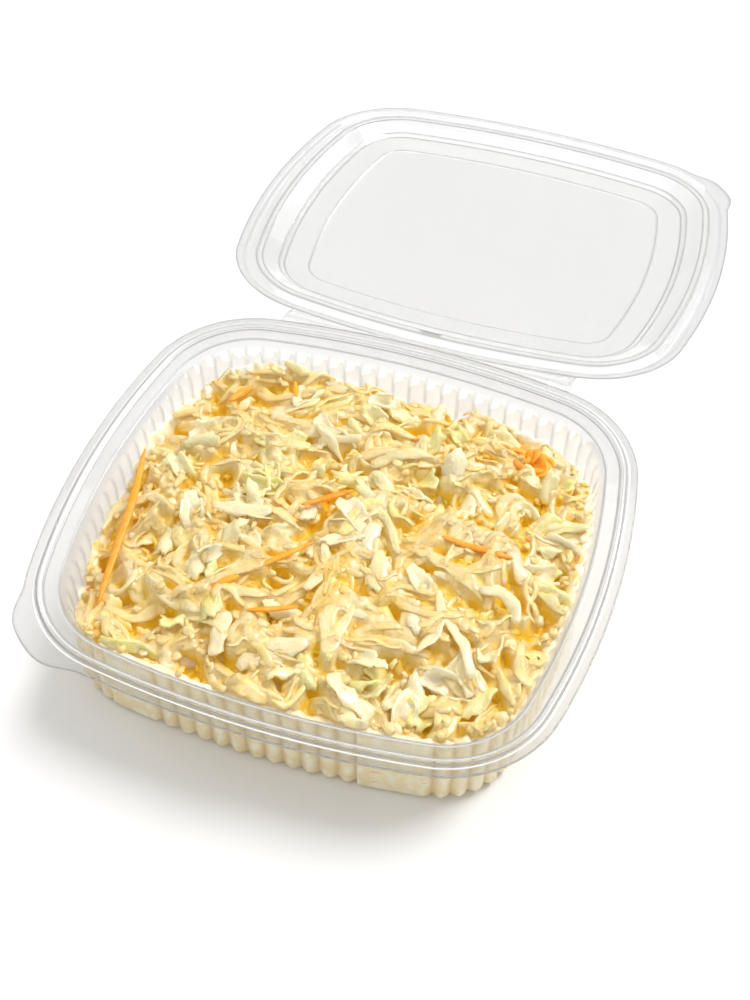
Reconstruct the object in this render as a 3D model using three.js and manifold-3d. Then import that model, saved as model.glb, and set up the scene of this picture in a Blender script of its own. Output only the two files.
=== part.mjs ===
// Coleslaw in a clear hinged deli tub: a fluted tray, its lid laid open behind it, and the heaped salad.
// Millimetres, +Z up, +X to the right along the hinge, +Y from the tray towards the lid.
// The origin is the middle of the tray's flat bottom, and the lid stands open as it hangs from its hinge.

import * as THREE from 'three';
import { mergeVertices } from 'three/addons/utils/BufferGeometryUtils.js';
import Module from 'manifold-3d';

const wasm = await Module();
wasm.setup();

// Driving dimensions.
const rim = {
  halfWidth: 95,
  halfDepth: 88.8,
  sideArc: 264, // radius of the bowed left and right sides
  endArc: 348, // radius of the bowed front and back
  corner: 41, // radius of the rounded corners
  height: 38, // top of the flange above the table
};
const sheet = 0.8; // thickness of the formed plastic
const gap = 0.3; // air kept between neighbouring solids
const bead = { outerFoot: 3.1, crest: 4.75, innerFoot: 6.4, height: 1 }; // insets from the flange's edge
const lidBead = { outerFoot: 2.5, outerCrest: 4.25, innerCrest: 5.25, innerFoot: 7.8 }; // over the tray's
const wall = { ledge: 11.3, top: 13, topDrop: 3, foot: 15.1, footHeight: 2.6, bottom: 17 };
const flutes = { count: 88, topDepth: 0.9, footDepth: 2, plainFrom: 29, plainTo: 55 };
const trayTab = { at: THREE.MathUtils.degToRad(231), width: THREE.MathUtils.degToRad(22), reach: 6 };
const lidTab = { at: THREE.MathUtils.degToRad(322), width: THREE.MathUtils.degToRad(17), reach: 4.8 };
const hinge = {
  y: rim.halfDepth + 2.25,
  z: rim.height - 2.15,
  middle: 1.4, // the strip is a little off centre
  halfLength: 55.3,
  rootInset: 1.5, // where the flaps grow out of the flanges
  rootSteps: 12,
  edgeGap: 0.35,
  lipDepth: 3.9,
  openAngle: THREE.MathUtils.degToRad(188.65),
};
const dome = {
  shoulder: 11,
  slopeEnd: 19.5,
  slopeRise: 4.2,
  panel: 29,
  panelRise: 4.9,
  centre: 31,
  centreRise: 5.4,
};
const latchMark = { x: 1, inset: 9.1, length: 7.2, width: 1.8, height: 0.15 };
const lidColumns = 64;
const weldDistance = 1e-3;

const heap = {
  level: 29.5, // height of the salad where it meets the walls
  backward: -5.2, // fall of that level towards the hinge
  sideward: 2.5, // rise of that level towards the right
  crown: 10.5, // how far the middle stands above the edges
  halfWidth: 80,
  halfDepth: 74,
  columns: 36,
  ringShares: [0.93, 0.8, 0.64, 0.46, 0.25],
  wideLump: { height: 0.8, alongX: 9, alongY: 8 },
  narrowLump: { height: 0.8, alongX: 4.6, alongY: 6.1, crossX: 7.3, crossY: 4.2 },
  coreDrop: 1.6, // the core lies this far below the surface that the shreds follow
  wallGap: 1.6,
  shoulderDrop: 2,
  footTaper: 1,
  floorGap: 1.1,
};
const shreds = {
  seed: 7,
  count: 34,
  reach: 0.88,
  thickness: 1.8,
  length: [15, 30],
  width: [2.6, 5],
  bend: [-0.9, 0.9],
  arch: [1.5, 2.8],
  roll: [-0.35, 0.35],
  steps: 3,
  tipNarrowing: 0.5,
  endSink: 1.9,
};
const leaf = { thickness: 1.2, across: 2, along: 3, tipNarrowing: 0.55, raggedness: 0.25, endDroop: 3 };

// Seeded random numbers, so that every run lays the same salad.
function makeRandom(seed) {
  let state = seed;
  return (low, high) => {
    state = (state * 1664525 + 1013904223) % 4294967296;
    return low + ((high - low) * state) / 4294967296;
  };
}

// The tub's outline is a rounded rectangle with bowed sides. Its arcs meet where their normals agree.
function cornerArc() {
  const sideShift = rim.sideArc - rim.halfWidth;
  const endShift = rim.endArc - rim.halfDepth;
  const toSide = rim.sideArc - rim.corner;
  const toEnd = rim.endArc - rim.corner;
  const apart = Math.hypot(sideShift, endShift);
  const along = (toSide ** 2 - toEnd ** 2 + apart ** 2) / (2 * apart);
  const across = Math.sqrt(toSide ** 2 - along ** 2);
  const x = -sideShift + (along * sideShift + across * endShift) / apart;
  const y = (across * sideShift - along * endShift) / apart;
  const first = Math.atan2(y, x + sideShift);
  const last = Math.atan2(y + endShift, x);
  return { x, y, sideShift, endShift, first, last };
}

const corner = cornerArc();

// The point of the outline whose normal has this angle, moved inwards by inset.
function outlinePoint(angle, inset) {
  const c = Math.abs(Math.cos(angle));
  const s = Math.abs(Math.sin(angle));
  const folded = Math.atan2(s, c);
  let x = corner.x + rim.corner * c;
  let y = corner.y + rim.corner * s;
  if (folded < corner.first) {
    x = rim.sideArc * c - corner.sideShift;
    y = rim.sideArc * s;
  } else if (folded > corner.last) {
    x = rim.endArc * c;
    y = rim.endArc * s - corner.endShift;
  }
  return [Math.sign(Math.cos(angle)) * (x - inset * c), Math.sign(Math.sin(angle)) * (y - inset * s)];
}

// The normal's angle at a share of the way round, evenly spaced along the foot of the wall.
function outlineAngle(share) {
  const sideLength = corner.first * (rim.sideArc - wall.foot);
  const cornerLength = (corner.last - corner.first) * (rim.corner - wall.foot);
  const endLength = (Math.PI / 2 - corner.last) * (rim.endArc - wall.foot);
  const quarter = Math.floor(share * 4);
  const mirrored = quarter % 2 === 1;
  const local = share * 4 - quarter;
  const run = (mirrored ? 1 - local : local) * (sideLength + cornerLength + endLength);
  let angle = run / (rim.sideArc - wall.foot);
  if (run > sideLength + cornerLength) {
    angle = corner.last + (run - sideLength - cornerLength) / (rim.endArc - wall.foot);
  } else if (run > sideLength) {
    angle = corner.first + (run - sideLength) / (rim.corner - wall.foot);
  }
  return mirrored ? ((quarter + 1) * Math.PI) / 2 - angle : (quarter * Math.PI) / 2 + angle;
}

// A tab is a rounded swelling of the flange's edge round one corner.
function tabReach(angle, tab) {
  return tab.reach * Math.exp(-(((angle - tab.at) / tab.width) ** 4));
}

function geometryFrom(points, triangles) {
  const geometry = new THREE.BufferGeometry();
  geometry.setAttribute('position', new THREE.Float32BufferAttribute(points.flat(), 3));
  geometry.setIndex(triangles.flat());
  return geometry;
}

// A closed body from rings stacked between two poles, each ring running anticlockwise from above.
function ringBody(firstPole, rings, lastPole) {
  const columns = rings[0].length;
  const points = [firstPole, ...rings.flat(), lastPole];
  const last = points.length - 1;
  const triangles = [];
  for (let j = 0; j < columns; j += 1) {
    const next = (j + 1) % columns;
    triangles.push([0, 1 + next, 1 + j]);
    for (let i = 0; i < rings.length - 1; i += 1) {
      const low = 1 + i * columns;
      const high = low + columns;
      triangles.push([low + j, low + next, high + next], [low + j, high + next, high + j]);
    }
    const top = last - columns;
    triangles.push([top + j, top + next, last]);
  }
  return geometryFrom(points, triangles);
}

// A thin wavy solid whose two faces are split alike. pointAt gives its middle surface: u runs leftwards as
// seen by someone walking along v.
function leafBody(across, along, thickness, pointAt) {
  const count = (across + 1) * (along + 1);
  const points = [];
  for (const side of [-0.5, 0.5]) {
    for (let i = 0; i <= across; i += 1) {
      for (let j = 0; j <= along; j += 1) {
        const [x, y, z] = pointAt(i / across, j / along);
        points.push([x, y, z + side * thickness]);
      }
    }
  }
  const at = (i, j) => i * (along + 1) + j;
  const triangles = [];
  const quad = (a, b, c, d) => triangles.push([a, b, c], [a, c, d]);
  for (let i = 0; i < across; i += 1) {
    for (let j = 0; j < along; j += 1) {
      const [a, b, c, d] = [at(i, j), at(i + 1, j), at(i + 1, j + 1), at(i, j + 1)];
      quad(a, b, c, d);
      triangles.push([count + a, count + c, count + b], [count + a, count + d, count + c]);
    }
  }
  for (let i = 0; i < across; i += 1) {
    quad(count + at(i, 0), count + at(i + 1, 0), at(i + 1, 0), at(i, 0));
    quad(count + at(i + 1, along), count + at(i, along), at(i, along), at(i + 1, along));
  }
  for (let j = 0; j < along; j += 1) {
    quad(count + at(0, j + 1), count + at(0, j), at(0, j), at(0, j + 1));
    quad(count + at(across, j), count + at(across, j + 1), at(across, j + 1), at(across, j));
  }
  return geometryFrom(points, triangles);
}

function solidFrom(geometry, tolerance = 1e-4) {
  const bare = geometry.clone();
  bare.deleteAttribute('normal');
  bare.deleteAttribute('uv');
  const merged = mergeVertices(bare, tolerance);
  const vertProperties = new Float32Array(merged.attributes.position.array);
  const triVerts = new Uint32Array(merged.index.array);
  return new wasm.Manifold(new wasm.Mesh({ numProp: 3, vertProperties, triVerts }));
}

function geometryOf(solid) {
  const mesh = solid.getMesh();
  const geometry = new THREE.BufferGeometry();
  geometry.setAttribute('position', new THREE.BufferAttribute(new Float32Array(mesh.vertProperties), 3));
  geometry.setIndex(new THREE.BufferAttribute(new Uint32Array(mesh.triVerts), 1));
  return geometry;
}

// Welds near vertices and keeps the largest body, so that sealed hollows are filled and loose scraps dropped.
// The second pass drops what only hung on by a welded point.
function largestBody(solid) {
  let body = solid;
  for (let pass = 0; pass < 2; pass += 1) {
    const bodies = solidFrom(geometryOf(body), weldDistance).decompose();
    body = bodies.reduce((best, other) => (other.volume() > best.volume() ? other : best));
  }
  return body;
}

function boxSolid(low, high) {
  const size = high.map((value, k) => value - low[k]);
  const box = new THREE.BoxGeometry(...size);
  box.translate(...low.map((value, k) => value + size[k] / 2));
  return solidFrom(box);
}

// The wall's flutes are ridges and valleys in turn, except on the plain panels of the front and back.
function isValley(column, angle) {
  const [x] = outlinePoint(angle, wall.foot);
  const onEnd = Math.abs(Math.sin(angle)) > Math.abs(Math.cos(angle));
  const plain = onEnd && Math.abs(x) > flutes.plainFrom && Math.abs(x) < flutes.plainTo;
  return column % 2 === 1 && !plain;
}

function trayRing({ inset, z, flute = 0, tab = null }) {
  const columns = flutes.count * 2;
  return Array.from({ length: columns }, (_, j) => {
    const angle = outlineAngle(j / columns);
    const valley = isValley(j, angle) ? flute : 0;
    const reach = tab ? tabReach(angle, tab) : 0;
    return [...outlinePoint(angle, inset + valley - reach), z];
  });
}

// A flat flap that continues a flange to the hinge: its root follows the bowed back edge, its end is straight.
function hingeFlap(bottom) {
  const left = hinge.middle - hinge.halfLength;
  const right = hinge.middle + hinge.halfLength;
  const end = hinge.y - hinge.edgeGap;
  const rootRadius = rim.endArc - hinge.rootInset;
  const shape = new THREE.Shape();
  shape.moveTo(right, end);
  shape.lineTo(left, end);
  for (let k = 0; k <= hinge.rootSteps; k += 1) {
    const x = THREE.MathUtils.lerp(left, right, k / hinge.rootSteps);
    shape.lineTo(x, Math.sqrt(rootRadius ** 2 - x ** 2) - corner.endShift);
  }
  const flap = new THREE.ExtrudeGeometry(shape, { depth: sheet, bevelEnabled: false, steps: 1 });
  flap.translate(0, 0, bottom);
  return solidFrom(flap);
}

// The tray's half of the hinge strip has a lip that turns down at the fold.
function trayHingeLeaf() {
  const left = hinge.middle - hinge.halfLength;
  const right = hinge.middle + hinge.halfLength;
  const end = hinge.y - hinge.edgeGap;
  const lip = boxSolid([left, end - sheet, rim.height - hinge.lipDepth], [right, end, rim.height]);
  return hingeFlap(rim.height - sheet).add(lip);
}

function buildTray() {
  const under = rim.height - sheet;
  const rings = [
    { inset: wall.bottom, z: 0, flute: flutes.footDepth },
    { inset: wall.foot, z: wall.footHeight, flute: flutes.footDepth },
    { inset: wall.top - sheet, z: rim.height - wall.topDrop - sheet, flute: flutes.topDepth },
    { inset: wall.ledge, z: under },
    { inset: bead.innerFoot, z: under },
    { inset: bead.crest, z: under + bead.height },
    { inset: bead.outerFoot, z: under },
    { inset: 0, z: under, tab: trayTab },
    { inset: 0, z: rim.height, tab: trayTab },
    { inset: bead.outerFoot, z: rim.height },
    { inset: bead.crest, z: rim.height + bead.height },
    { inset: bead.innerFoot, z: rim.height },
    { inset: wall.ledge, z: rim.height },
    { inset: wall.top, z: rim.height - wall.topDrop, flute: flutes.topDepth },
    { inset: wall.foot + sheet, z: wall.footHeight + sheet / 2, flute: flutes.footDepth },
    { inset: wall.bottom + sheet, z: sheet, flute: flutes.footDepth },
  ].map(trayRing);
  const shell = solidFrom(ringBody([0, 0, 0], rings, [0, 0, sheet]));
  return geometryOf(shell.add(trayHingeLeaf()));
}

// The lid is drawn shut, its flange one gap above the tray's.
function lidRing({ inset, rise, tab = null }) {
  const base = rim.height + gap;
  return Array.from({ length: lidColumns }, (_, j) => {
    const angle = outlineAngle(j / lidColumns);
    const reach = tab ? tabReach(angle, tab) : 0;
    return [...outlinePoint(angle, inset - reach), base + rise];
  });
}

// A short raised bar on the lid's hinge side.
function lidMark() {
  const top = rim.height + gap;
  const y = rim.halfDepth - latchMark.inset;
  const low = [latchMark.x - latchMark.length / 2, y - latchMark.width / 2, top - latchMark.height];
  const high = [latchMark.x + latchMark.length / 2, y + latchMark.width / 2, top + sheet / 2];
  return boxSolid(low, high);
}

function buildLid() {
  const channel = bead.height + gap;
  const under = [
    { inset: dome.centre, rise: dome.centreRise },
    { inset: dome.panel, rise: dome.panelRise },
    { inset: dome.slopeEnd, rise: dome.slopeRise },
    { inset: dome.shoulder, rise: 0 },
    { inset: lidBead.innerFoot, rise: 0 },
    { inset: lidBead.innerCrest, rise: channel },
    { inset: lidBead.outerCrest, rise: channel },
    { inset: lidBead.outerFoot, rise: 0 },
    { inset: 0, rise: 0, tab: lidTab },
  ];
  const over = under.map((ring) => ({ ...ring, rise: ring.rise + sheet })).reverse();
  const base = rim.height + gap;
  const firstPole = [0, 0, base + dome.centreRise];
  const lastPole = [0, 0, base + dome.centreRise + sheet];
  const shell = solidFrom(ringBody(firstPole, [...under, ...over].map(lidRing), lastPole));
  return geometryOf(shell.add(hingeFlap(rim.height + gap)).add(lidMark()));
}

// The salad's surface without its lumps: a level that leans, crowned in the middle.
function heapHeight(x, y) {
  const out = Math.min(1, Math.hypot(x / heap.halfWidth, y / heap.halfDepth));
  const lean = (heap.backward * y) / heap.halfDepth + (heap.sideward * x) / heap.halfWidth;
  return heap.level + lean + heap.crown * (1 - out ** 3);
}

// Two sets of crossed waves.
function lumps(x, y) {
  const { wideLump: wide, narrowLump: narrow } = heap;
  const slow = Math.sin(x / wide.alongX + 1) * Math.cos(y / wide.alongY - 1);
  const along = Math.sin(x / narrow.alongX - y / narrow.alongY);
  const across = Math.cos(y / narrow.crossY + x / narrow.crossX);
  return wide.height * slow + narrow.height * along * across;
}

// The room that the shut tub leaves for food, one gap clear of the plastic all round.
function roomInside() {
  const deep = flutes.footDepth + gap * 1.5;
  const ceiling = rim.height + gap + dome.slopeRise - gap * 2;
  const rings = [
    { inset: wall.bottom + sheet + deep, z: sheet + gap },
    { inset: wall.foot + sheet + deep, z: wall.footHeight + sheet + gap },
    { inset: wall.top + flutes.topDepth + gap * 1.5, z: rim.height - wall.topDrop },
    { inset: dome.slopeEnd, z: ceiling },
  ].map(trayRing);
  return solidFrom(ringBody([0, 0, sheet + gap], rings, [0, 0, ceiling]));
}

function heapCore() {
  const ringAt = (inset, heightAt, share = 1) =>
    Array.from({ length: heap.columns }, (_, j) => {
      const [x, y] = outlinePoint(outlineAngle(j / heap.columns), inset).map((value) => value * share);
      return [x, y, heightAt(x, y)];
    });
  const footInset = wall.bottom + sheet + flutes.footDepth + gap * 2 + heap.footTaper;
  const beltInset = footInset - heap.footTaper - gap * 2;
  const edgeInset = wall.top + flutes.topDepth + heap.wallGap;
  const surface = (x, y) => heapHeight(x, y) + lumps(x, y) - heap.coreDrop;
  const rings = [
    ringAt(footInset, () => heap.floorGap),
    ringAt(beltInset, () => heap.floorGap + wall.footHeight),
    ringAt(edgeInset, (x, y) => surface(x, y) - heap.shoulderDrop),
    ...heap.ringShares.map((share) => ringAt(edgeInset, surface, share)),
  ];
  return solidFrom(ringBody([0, 0, heap.floorGap], rings, [0, 0, surface(0, 0)]));
}

// A cut shred: a strip laid on the heap, bent in plan, arched over its neighbours and sunk at its ends.
function shredSolid({ x, y, turn, length, width, bend, arch, roll = 0.3, steps = 5 }) {
  const pointAt = (u, v) => {
    const run = (v - 0.5) * length;
    const heading = turn + bend * (v - 0.5);
    const half = (u - 0.5) * width * (1 - shreds.tipNarrowing * (2 * v - 1) ** 4);
    const cx = x + run * Math.cos(turn + (bend * (v - 0.5)) / 2);
    const cy = y + run * Math.sin(turn + (bend * (v - 0.5)) / 2);
    const px = cx - half * Math.sin(heading);
    const py = cy + half * Math.cos(heading);
    const lift = arch * (1 - shreds.endSink * (2 * v - 1) ** 2) + roll * half * Math.sin(v * Math.PI);
    return [px, py, heapHeight(cx, cy) + lift];
  };
  return solidFrom(leafBody(1, steps, shreds.thickness, pointAt));
}

// A torn leaf: a wide wavy piece, curled up along both sides.
function leafSolid({ x, y, turn, length, width, curl, wave, lift }) {
  const pointAt = (u, v) => {
    const run = (v - 0.5) * length * (1 - leaf.raggedness * Math.sin(u * 7 + x));
    const half = (u - 0.5) * width * (1 - leaf.tipNarrowing * (2 * v - 1) ** 2);
    const px = x + run * Math.cos(turn) - half * Math.sin(turn);
    const py = y + run * Math.sin(turn) + half * Math.cos(turn);
    const shape = curl * (2 * u - 1) ** 2 + wave * Math.sin(v * 6 + u * 2);
    return [px, py, heapHeight(px, py) + lift + shape - leaf.endDroop * (2 * v - 1) ** 4];
  };
  return solidFrom(leafBody(leaf.across, leaf.along, leaf.thickness, pointAt));
}

// Evenly spread places on the heap, each jittered by the seeded draw.
function spread(count, reach, random) {
  const golden = Math.PI * (3 - Math.sqrt(5));
  return Array.from({ length: count }, (_, k) => {
    const out = reach * Math.sqrt((k + 0.5) / count);
    const angle = k * golden + random(-0.25, 0.25);
    return [out * heap.halfWidth * Math.cos(angle), out * heap.halfDepth * Math.sin(angle)];
  });
}

// The long carrot shreds that stand out, laid where they catch the eye.
const carrots = [
  { x: -71, y: -20, turn: 1.32, length: 76, width: 2.6, bend: -0.35, arch: 1.2, steps: 9 },
  { x: 47, y: 2.6, turn: 0, length: 27, width: 2.6, bend: 0.35, arch: 1.7, steps: 5 },
  { x: -9, y: 6, turn: 0.7, length: 20, width: 2.4, bend: 0.3, arch: 1.6, steps: 4 },
  { x: -22, y: -31, turn: 0.75, length: 44, width: 2.8, bend: 0.4, arch: 1.5, steps: 6 },
  { x: -7, y: -43, turn: 0.38, length: 19, width: 1.8, bend: -0.5, arch: 1.7, steps: 4 },
  { x: 46, y: 58, turn: 0.4, length: 13, width: 2.2, bend: 2.2, arch: 2.4, steps: 5 },
  { x: 52, y: 54, turn: 1.9, length: 15, width: 2.2, bend: 2.6, arch: 3, steps: 5 },
  { x: 55, y: 50, turn: 2.8, length: 14, width: 2.2, bend: -2.2, arch: 2.6, steps: 5 },
];

// The pale torn leaves that stand up most.
const leaves = [
  { x: -1, y: -57, turn: 0.75, length: 24, width: 9, curl: 2, wave: 0.5, lift: 1.4 },
  { x: 26, y: -64, turn: -0.55, length: 24, width: 9, curl: 1.5, wave: 0.5, lift: 0.8 },
  { x: -8, y: 66, turn: -0.3, length: 30, width: 15, curl: 1.5, wave: 0.8, lift: 2 },
  { x: 6, y: 12, turn: 0.4, length: 22, width: 16, curl: 2, wave: 1, lift: 0.8 },
  { x: 66, y: 2, turn: 0.5, length: 22, width: 17, curl: 1.5, wave: 0.8, lift: 1 },
  { x: 27, y: 30, turn: 0.9, length: 22, width: 15, curl: 1.6, wave: 1, lift: 0.8 },
  { x: -47, y: 8, turn: 0.2, length: 22, width: 12, curl: 1.6, wave: 0.9, lift: 0.9 },
  { x: -30, y: 40, turn: 1.2, length: 20, width: 11, curl: 1.4, wave: 1, lift: 0.9 },
];

function buildSlaw() {
  const random = makeRandom(shreds.seed);
  let pile = heapCore();
  for (const [x, y] of spread(shreds.count, shreds.reach, random)) {
    const turn = random(0, Math.PI);
    const length = random(...shreds.length);
    const width = random(...shreds.width);
    const bend = random(...shreds.bend);
    const arch = random(...shreds.arch);
    const roll = random(...shreds.roll);
    pile = pile.add(shredSolid({ x, y, turn, length, width, bend, arch, roll, steps: shreds.steps }));
  }
  for (const carrot of carrots) {
    pile = pile.add(shredSolid(carrot));
  }
  for (const torn of leaves) {
    pile = pile.add(leafSolid(torn));
  }
  return geometryOf(largestBody(pile.intersect(roomInside())));
}

const clearPlastic = new THREE.MeshStandardMaterial({
  color: 0xeef1f2,
  roughness: 0.08,
  metalness: 0,
  transparent: true,
  opacity: 0.35,
});
const creamySalad = new THREE.MeshStandardMaterial({ color: 0xf3e6ad, roughness: 0.45, metalness: 0 });

const tray = new THREE.Mesh(buildTray(), clearPlastic);
tray.name = 'tray';

const slaw = new THREE.Mesh(buildSlaw(), creamySalad);
slaw.name = 'slaw';

const lid = new THREE.Mesh(buildLid(), clearPlastic);
lid.name = 'lid';
lid.position.set(0, -hinge.y, -hinge.z);

// The lid swings about the hinge: turned back by the open angle, it hangs past level behind the tray.
const lidSwing = new THREE.Group();
lidSwing.position.set(0, hinge.y, hinge.z);
lidSwing.rotation.x = -hinge.openAngle;
lidSwing.add(lid);

const group = new THREE.Group();
group.add(tray, slaw, lidSwing);

export default group;
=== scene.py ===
# Coleslaw in a clear hinged deli tub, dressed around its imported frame.
# Shapes are worked out in millimetres and written to the meshes in metres.
import math

import bpy
import numpy as np
from mathutils import Matrix, Vector


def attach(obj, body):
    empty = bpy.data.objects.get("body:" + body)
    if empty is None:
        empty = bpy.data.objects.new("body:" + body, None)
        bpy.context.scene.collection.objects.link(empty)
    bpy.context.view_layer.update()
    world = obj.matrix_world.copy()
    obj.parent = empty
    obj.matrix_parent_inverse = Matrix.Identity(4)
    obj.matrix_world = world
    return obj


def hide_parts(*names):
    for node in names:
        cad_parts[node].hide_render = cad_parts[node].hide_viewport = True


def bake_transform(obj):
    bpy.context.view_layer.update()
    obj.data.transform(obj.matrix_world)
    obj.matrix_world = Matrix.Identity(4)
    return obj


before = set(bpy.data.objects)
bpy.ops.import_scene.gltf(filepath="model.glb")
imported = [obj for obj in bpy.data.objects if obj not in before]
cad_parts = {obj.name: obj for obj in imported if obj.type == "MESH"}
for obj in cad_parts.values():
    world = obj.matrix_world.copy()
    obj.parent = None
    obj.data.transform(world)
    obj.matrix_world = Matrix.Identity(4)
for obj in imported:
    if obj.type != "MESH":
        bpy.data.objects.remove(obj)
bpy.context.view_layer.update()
mm = 0.001
print("frame loaded:", ", ".join(sorted(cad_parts)))


def meshPiece(name, points, faceGroups, attributes=None, smooth=True):
    # points (n, 3) in millimetres; faceGroups is a list of (count, corners) index arrays
    mesh = bpy.data.meshes.new(name)
    corners = np.concatenate([group.ravel() for group in faceGroups]).astype(np.int32)
    sizes = np.concatenate([np.full(len(group), group.shape[1]) for group in faceGroups])
    starts = np.concatenate([[0], np.cumsum(sizes)[:-1]]).astype(np.int32)
    mesh.vertices.add(len(points))
    mesh.vertices.foreach_set("co", (points * mm).astype(np.float32).ravel())
    mesh.loops.add(len(corners))
    mesh.loops.foreach_set("vertex_index", corners)
    mesh.polygons.add(len(sizes))
    mesh.polygons.foreach_set("loop_start", starts)
    mesh.polygons.foreach_set("use_smooth", np.full(len(sizes), smooth))
    for key, values in (attributes or {}).items():
        kind = "FLOAT_VECTOR" if values.ndim == 2 else "FLOAT"
        layer = mesh.attributes.new(key, kind, "POINT")
        field = "vector" if values.ndim == 2 else "value"
        layer.data.foreach_set(field, values.astype(np.float32).ravel())
    mesh.update(calc_edges=True)
    mesh.validate()
    piece = bpy.data.objects.new(name, mesh)
    bpy.context.scene.collection.objects.link(piece)
    return piece


def gridFaces(rows, columns, closed=False):
    # quads of a rows x columns grid of points; closed joins the last column to the first
    index = np.arange(rows * columns).reshape(rows, columns)
    right = np.roll(index, -1, axis=1) if closed else index[:, 1:]
    left = index if closed else index[:, :-1]
    quads = np.stack([left[:-1], right[:-1], right[1:], left[1:]], axis=-1)
    return quads.reshape(-1, 4)


def unit(vectors):
    # v / |v|
    return vectors / np.maximum(np.linalg.norm(vectors, axis=-1, keepdims=True), 1e-9)


def smoothStep(values):
    # 3 v^2 - 2 v^3 between 0 and 1
    values = np.clip(values, 0, 1)
    return values * values * (3 - 2 * values)


tub = {
    "halfWidth": 95.0,
    "halfDepth": 88.8,
    "sideArc": 264.0,  # radius of the bowed left and right sides
    "endArc": 348.0,  # radius of the bowed front and back
    "corner": 41.0,
    "sheet": 0.4,  # thickness of the formed plastic
    "fluteCount": 88,
    "wallFoot": 14.1,  # inset of the wall where it meets the bottom
}


def cornerArc():
    # centre of the corner circle that touches both bowed sides from inside, where two circles cross:
    # (x + sideShift)^2 + y^2 = (sideArc - corner)^2 and x^2 + (y + endShift)^2 = (endArc - corner)^2
    sideShift = tub["sideArc"] - tub["halfWidth"]
    endShift = tub["endArc"] - tub["halfDepth"]
    toSide = tub["sideArc"] - tub["corner"]
    toEnd = tub["endArc"] - tub["corner"]
    apart = math.hypot(sideShift, endShift)
    along = (toSide ** 2 - toEnd ** 2 + apart ** 2) / (2 * apart)
    across = math.sqrt(toSide ** 2 - along ** 2)
    x = -sideShift + (along * sideShift + across * endShift) / apart
    y = (across * sideShift - along * endShift) / apart
    first = math.atan2(y, x + sideShift)
    last = math.atan2(y + endShift, x)
    return {"x": x, "y": y, "sideShift": sideShift, "endShift": endShift,
            "first": first, "last": last}  # angles where the corner meets the side and the end


arc = cornerArc()


def outlinePoints(angle, inset):
    # the outline's point whose outward normal has this angle, moved in along the normal by inset
    c, s = np.abs(np.cos(angle)), np.abs(np.sin(angle))
    folded = np.arctan2(s, c)
    side, end = folded < arc["first"], folded > arc["last"]
    x = np.where(side, tub["sideArc"] * c - arc["sideShift"], arc["x"] + tub["corner"] * c)
    y = np.where(side, tub["sideArc"] * s, arc["y"] + tub["corner"] * s)
    x = np.where(end, tub["endArc"] * c, x)
    y = np.where(end, tub["endArc"] * s - arc["endShift"], y)
    return np.sign(np.cos(angle)) * (x - inset * c), np.sign(np.sin(angle)) * (y - inset * s)


def outlineAngles(shares):
    # normal angles at shares of the way round, evenly spaced along the wall's foot
    foot = tub["wallFoot"]
    lengths = [
        arc["first"] * (tub["sideArc"] - foot),
        (arc["last"] - arc["first"]) * (tub["corner"] - foot),
        (math.pi / 2 - arc["last"]) * (tub["endArc"] - foot),
    ]
    marks = np.cumsum([0] + lengths)
    quarter = np.floor(shares * 4)
    local = shares * 4 - quarter
    mirrored = quarter % 2 == 1
    run = np.where(mirrored, 1 - local, local) * marks[-1]
    angle = np.interp(run, marks, [0, arc["first"], arc["last"], math.pi / 2])
    return np.where(mirrored, (quarter + 1) * math.pi / 2 - angle, quarter * math.pi / 2 + angle)


def easedLine(corners, steps):
    # each inner corner is eased by the parabola (1-t)^2 before + 2t(1-t) corner + t^2 after
    points, reach = np.array([row[:-1] for row in corners], float), [row[-1] for row in corners]
    reach = np.array(reach[1:-1])[:, None]
    middle = points[1:-1]
    before = middle + unit(points[:-2] - middle) * reach
    after = middle + unit(points[2:] - middle) * reach
    t = np.linspace(0, 1, steps)[None, :, None]
    eased = (1 - t) ** 2 * before[:, None] + 2 * t * (1 - t) * middle[:, None] + t ** 2 * after[:, None]
    return np.concatenate([points[:1], eased.reshape(-1, points.shape[1]), points[-1:]])


def fluteWave(shares, angles):
    # nearly 1 in the crease between two flutes, nearly 0 on a flute's back: 1 - sqrt(sin^2 + creaseRound^2)
    x, _ = outlinePoints(angles, tub["wallFoot"])
    atFront = -np.sin(angles) > np.abs(np.cos(angles))
    panels = [atFront & (x > first) & (x < last) for first, last in trayShell["panels"]]
    turn = np.sin(math.pi * shares * tub["fluteCount"])
    wave = 1 - np.sqrt(turn ** 2 + trayShell["creaseRound"] ** 2)
    return np.where(np.any(panels, axis=0), 0, wave)


def tabReach(angles, tab):
    # a tab swells the flange's edge: reach * exp(-((angle - at) / width)^4)
    return tab["reach"] * np.exp(-((np.degrees(angles) - tab["at"]) / tab["width"]) ** 4)


paintedCreaseShade = {"fullAt": 0.78, "sharpness": 6}  # painted shade: a crease darkens as (wave / fullAt)^sharpness


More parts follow.
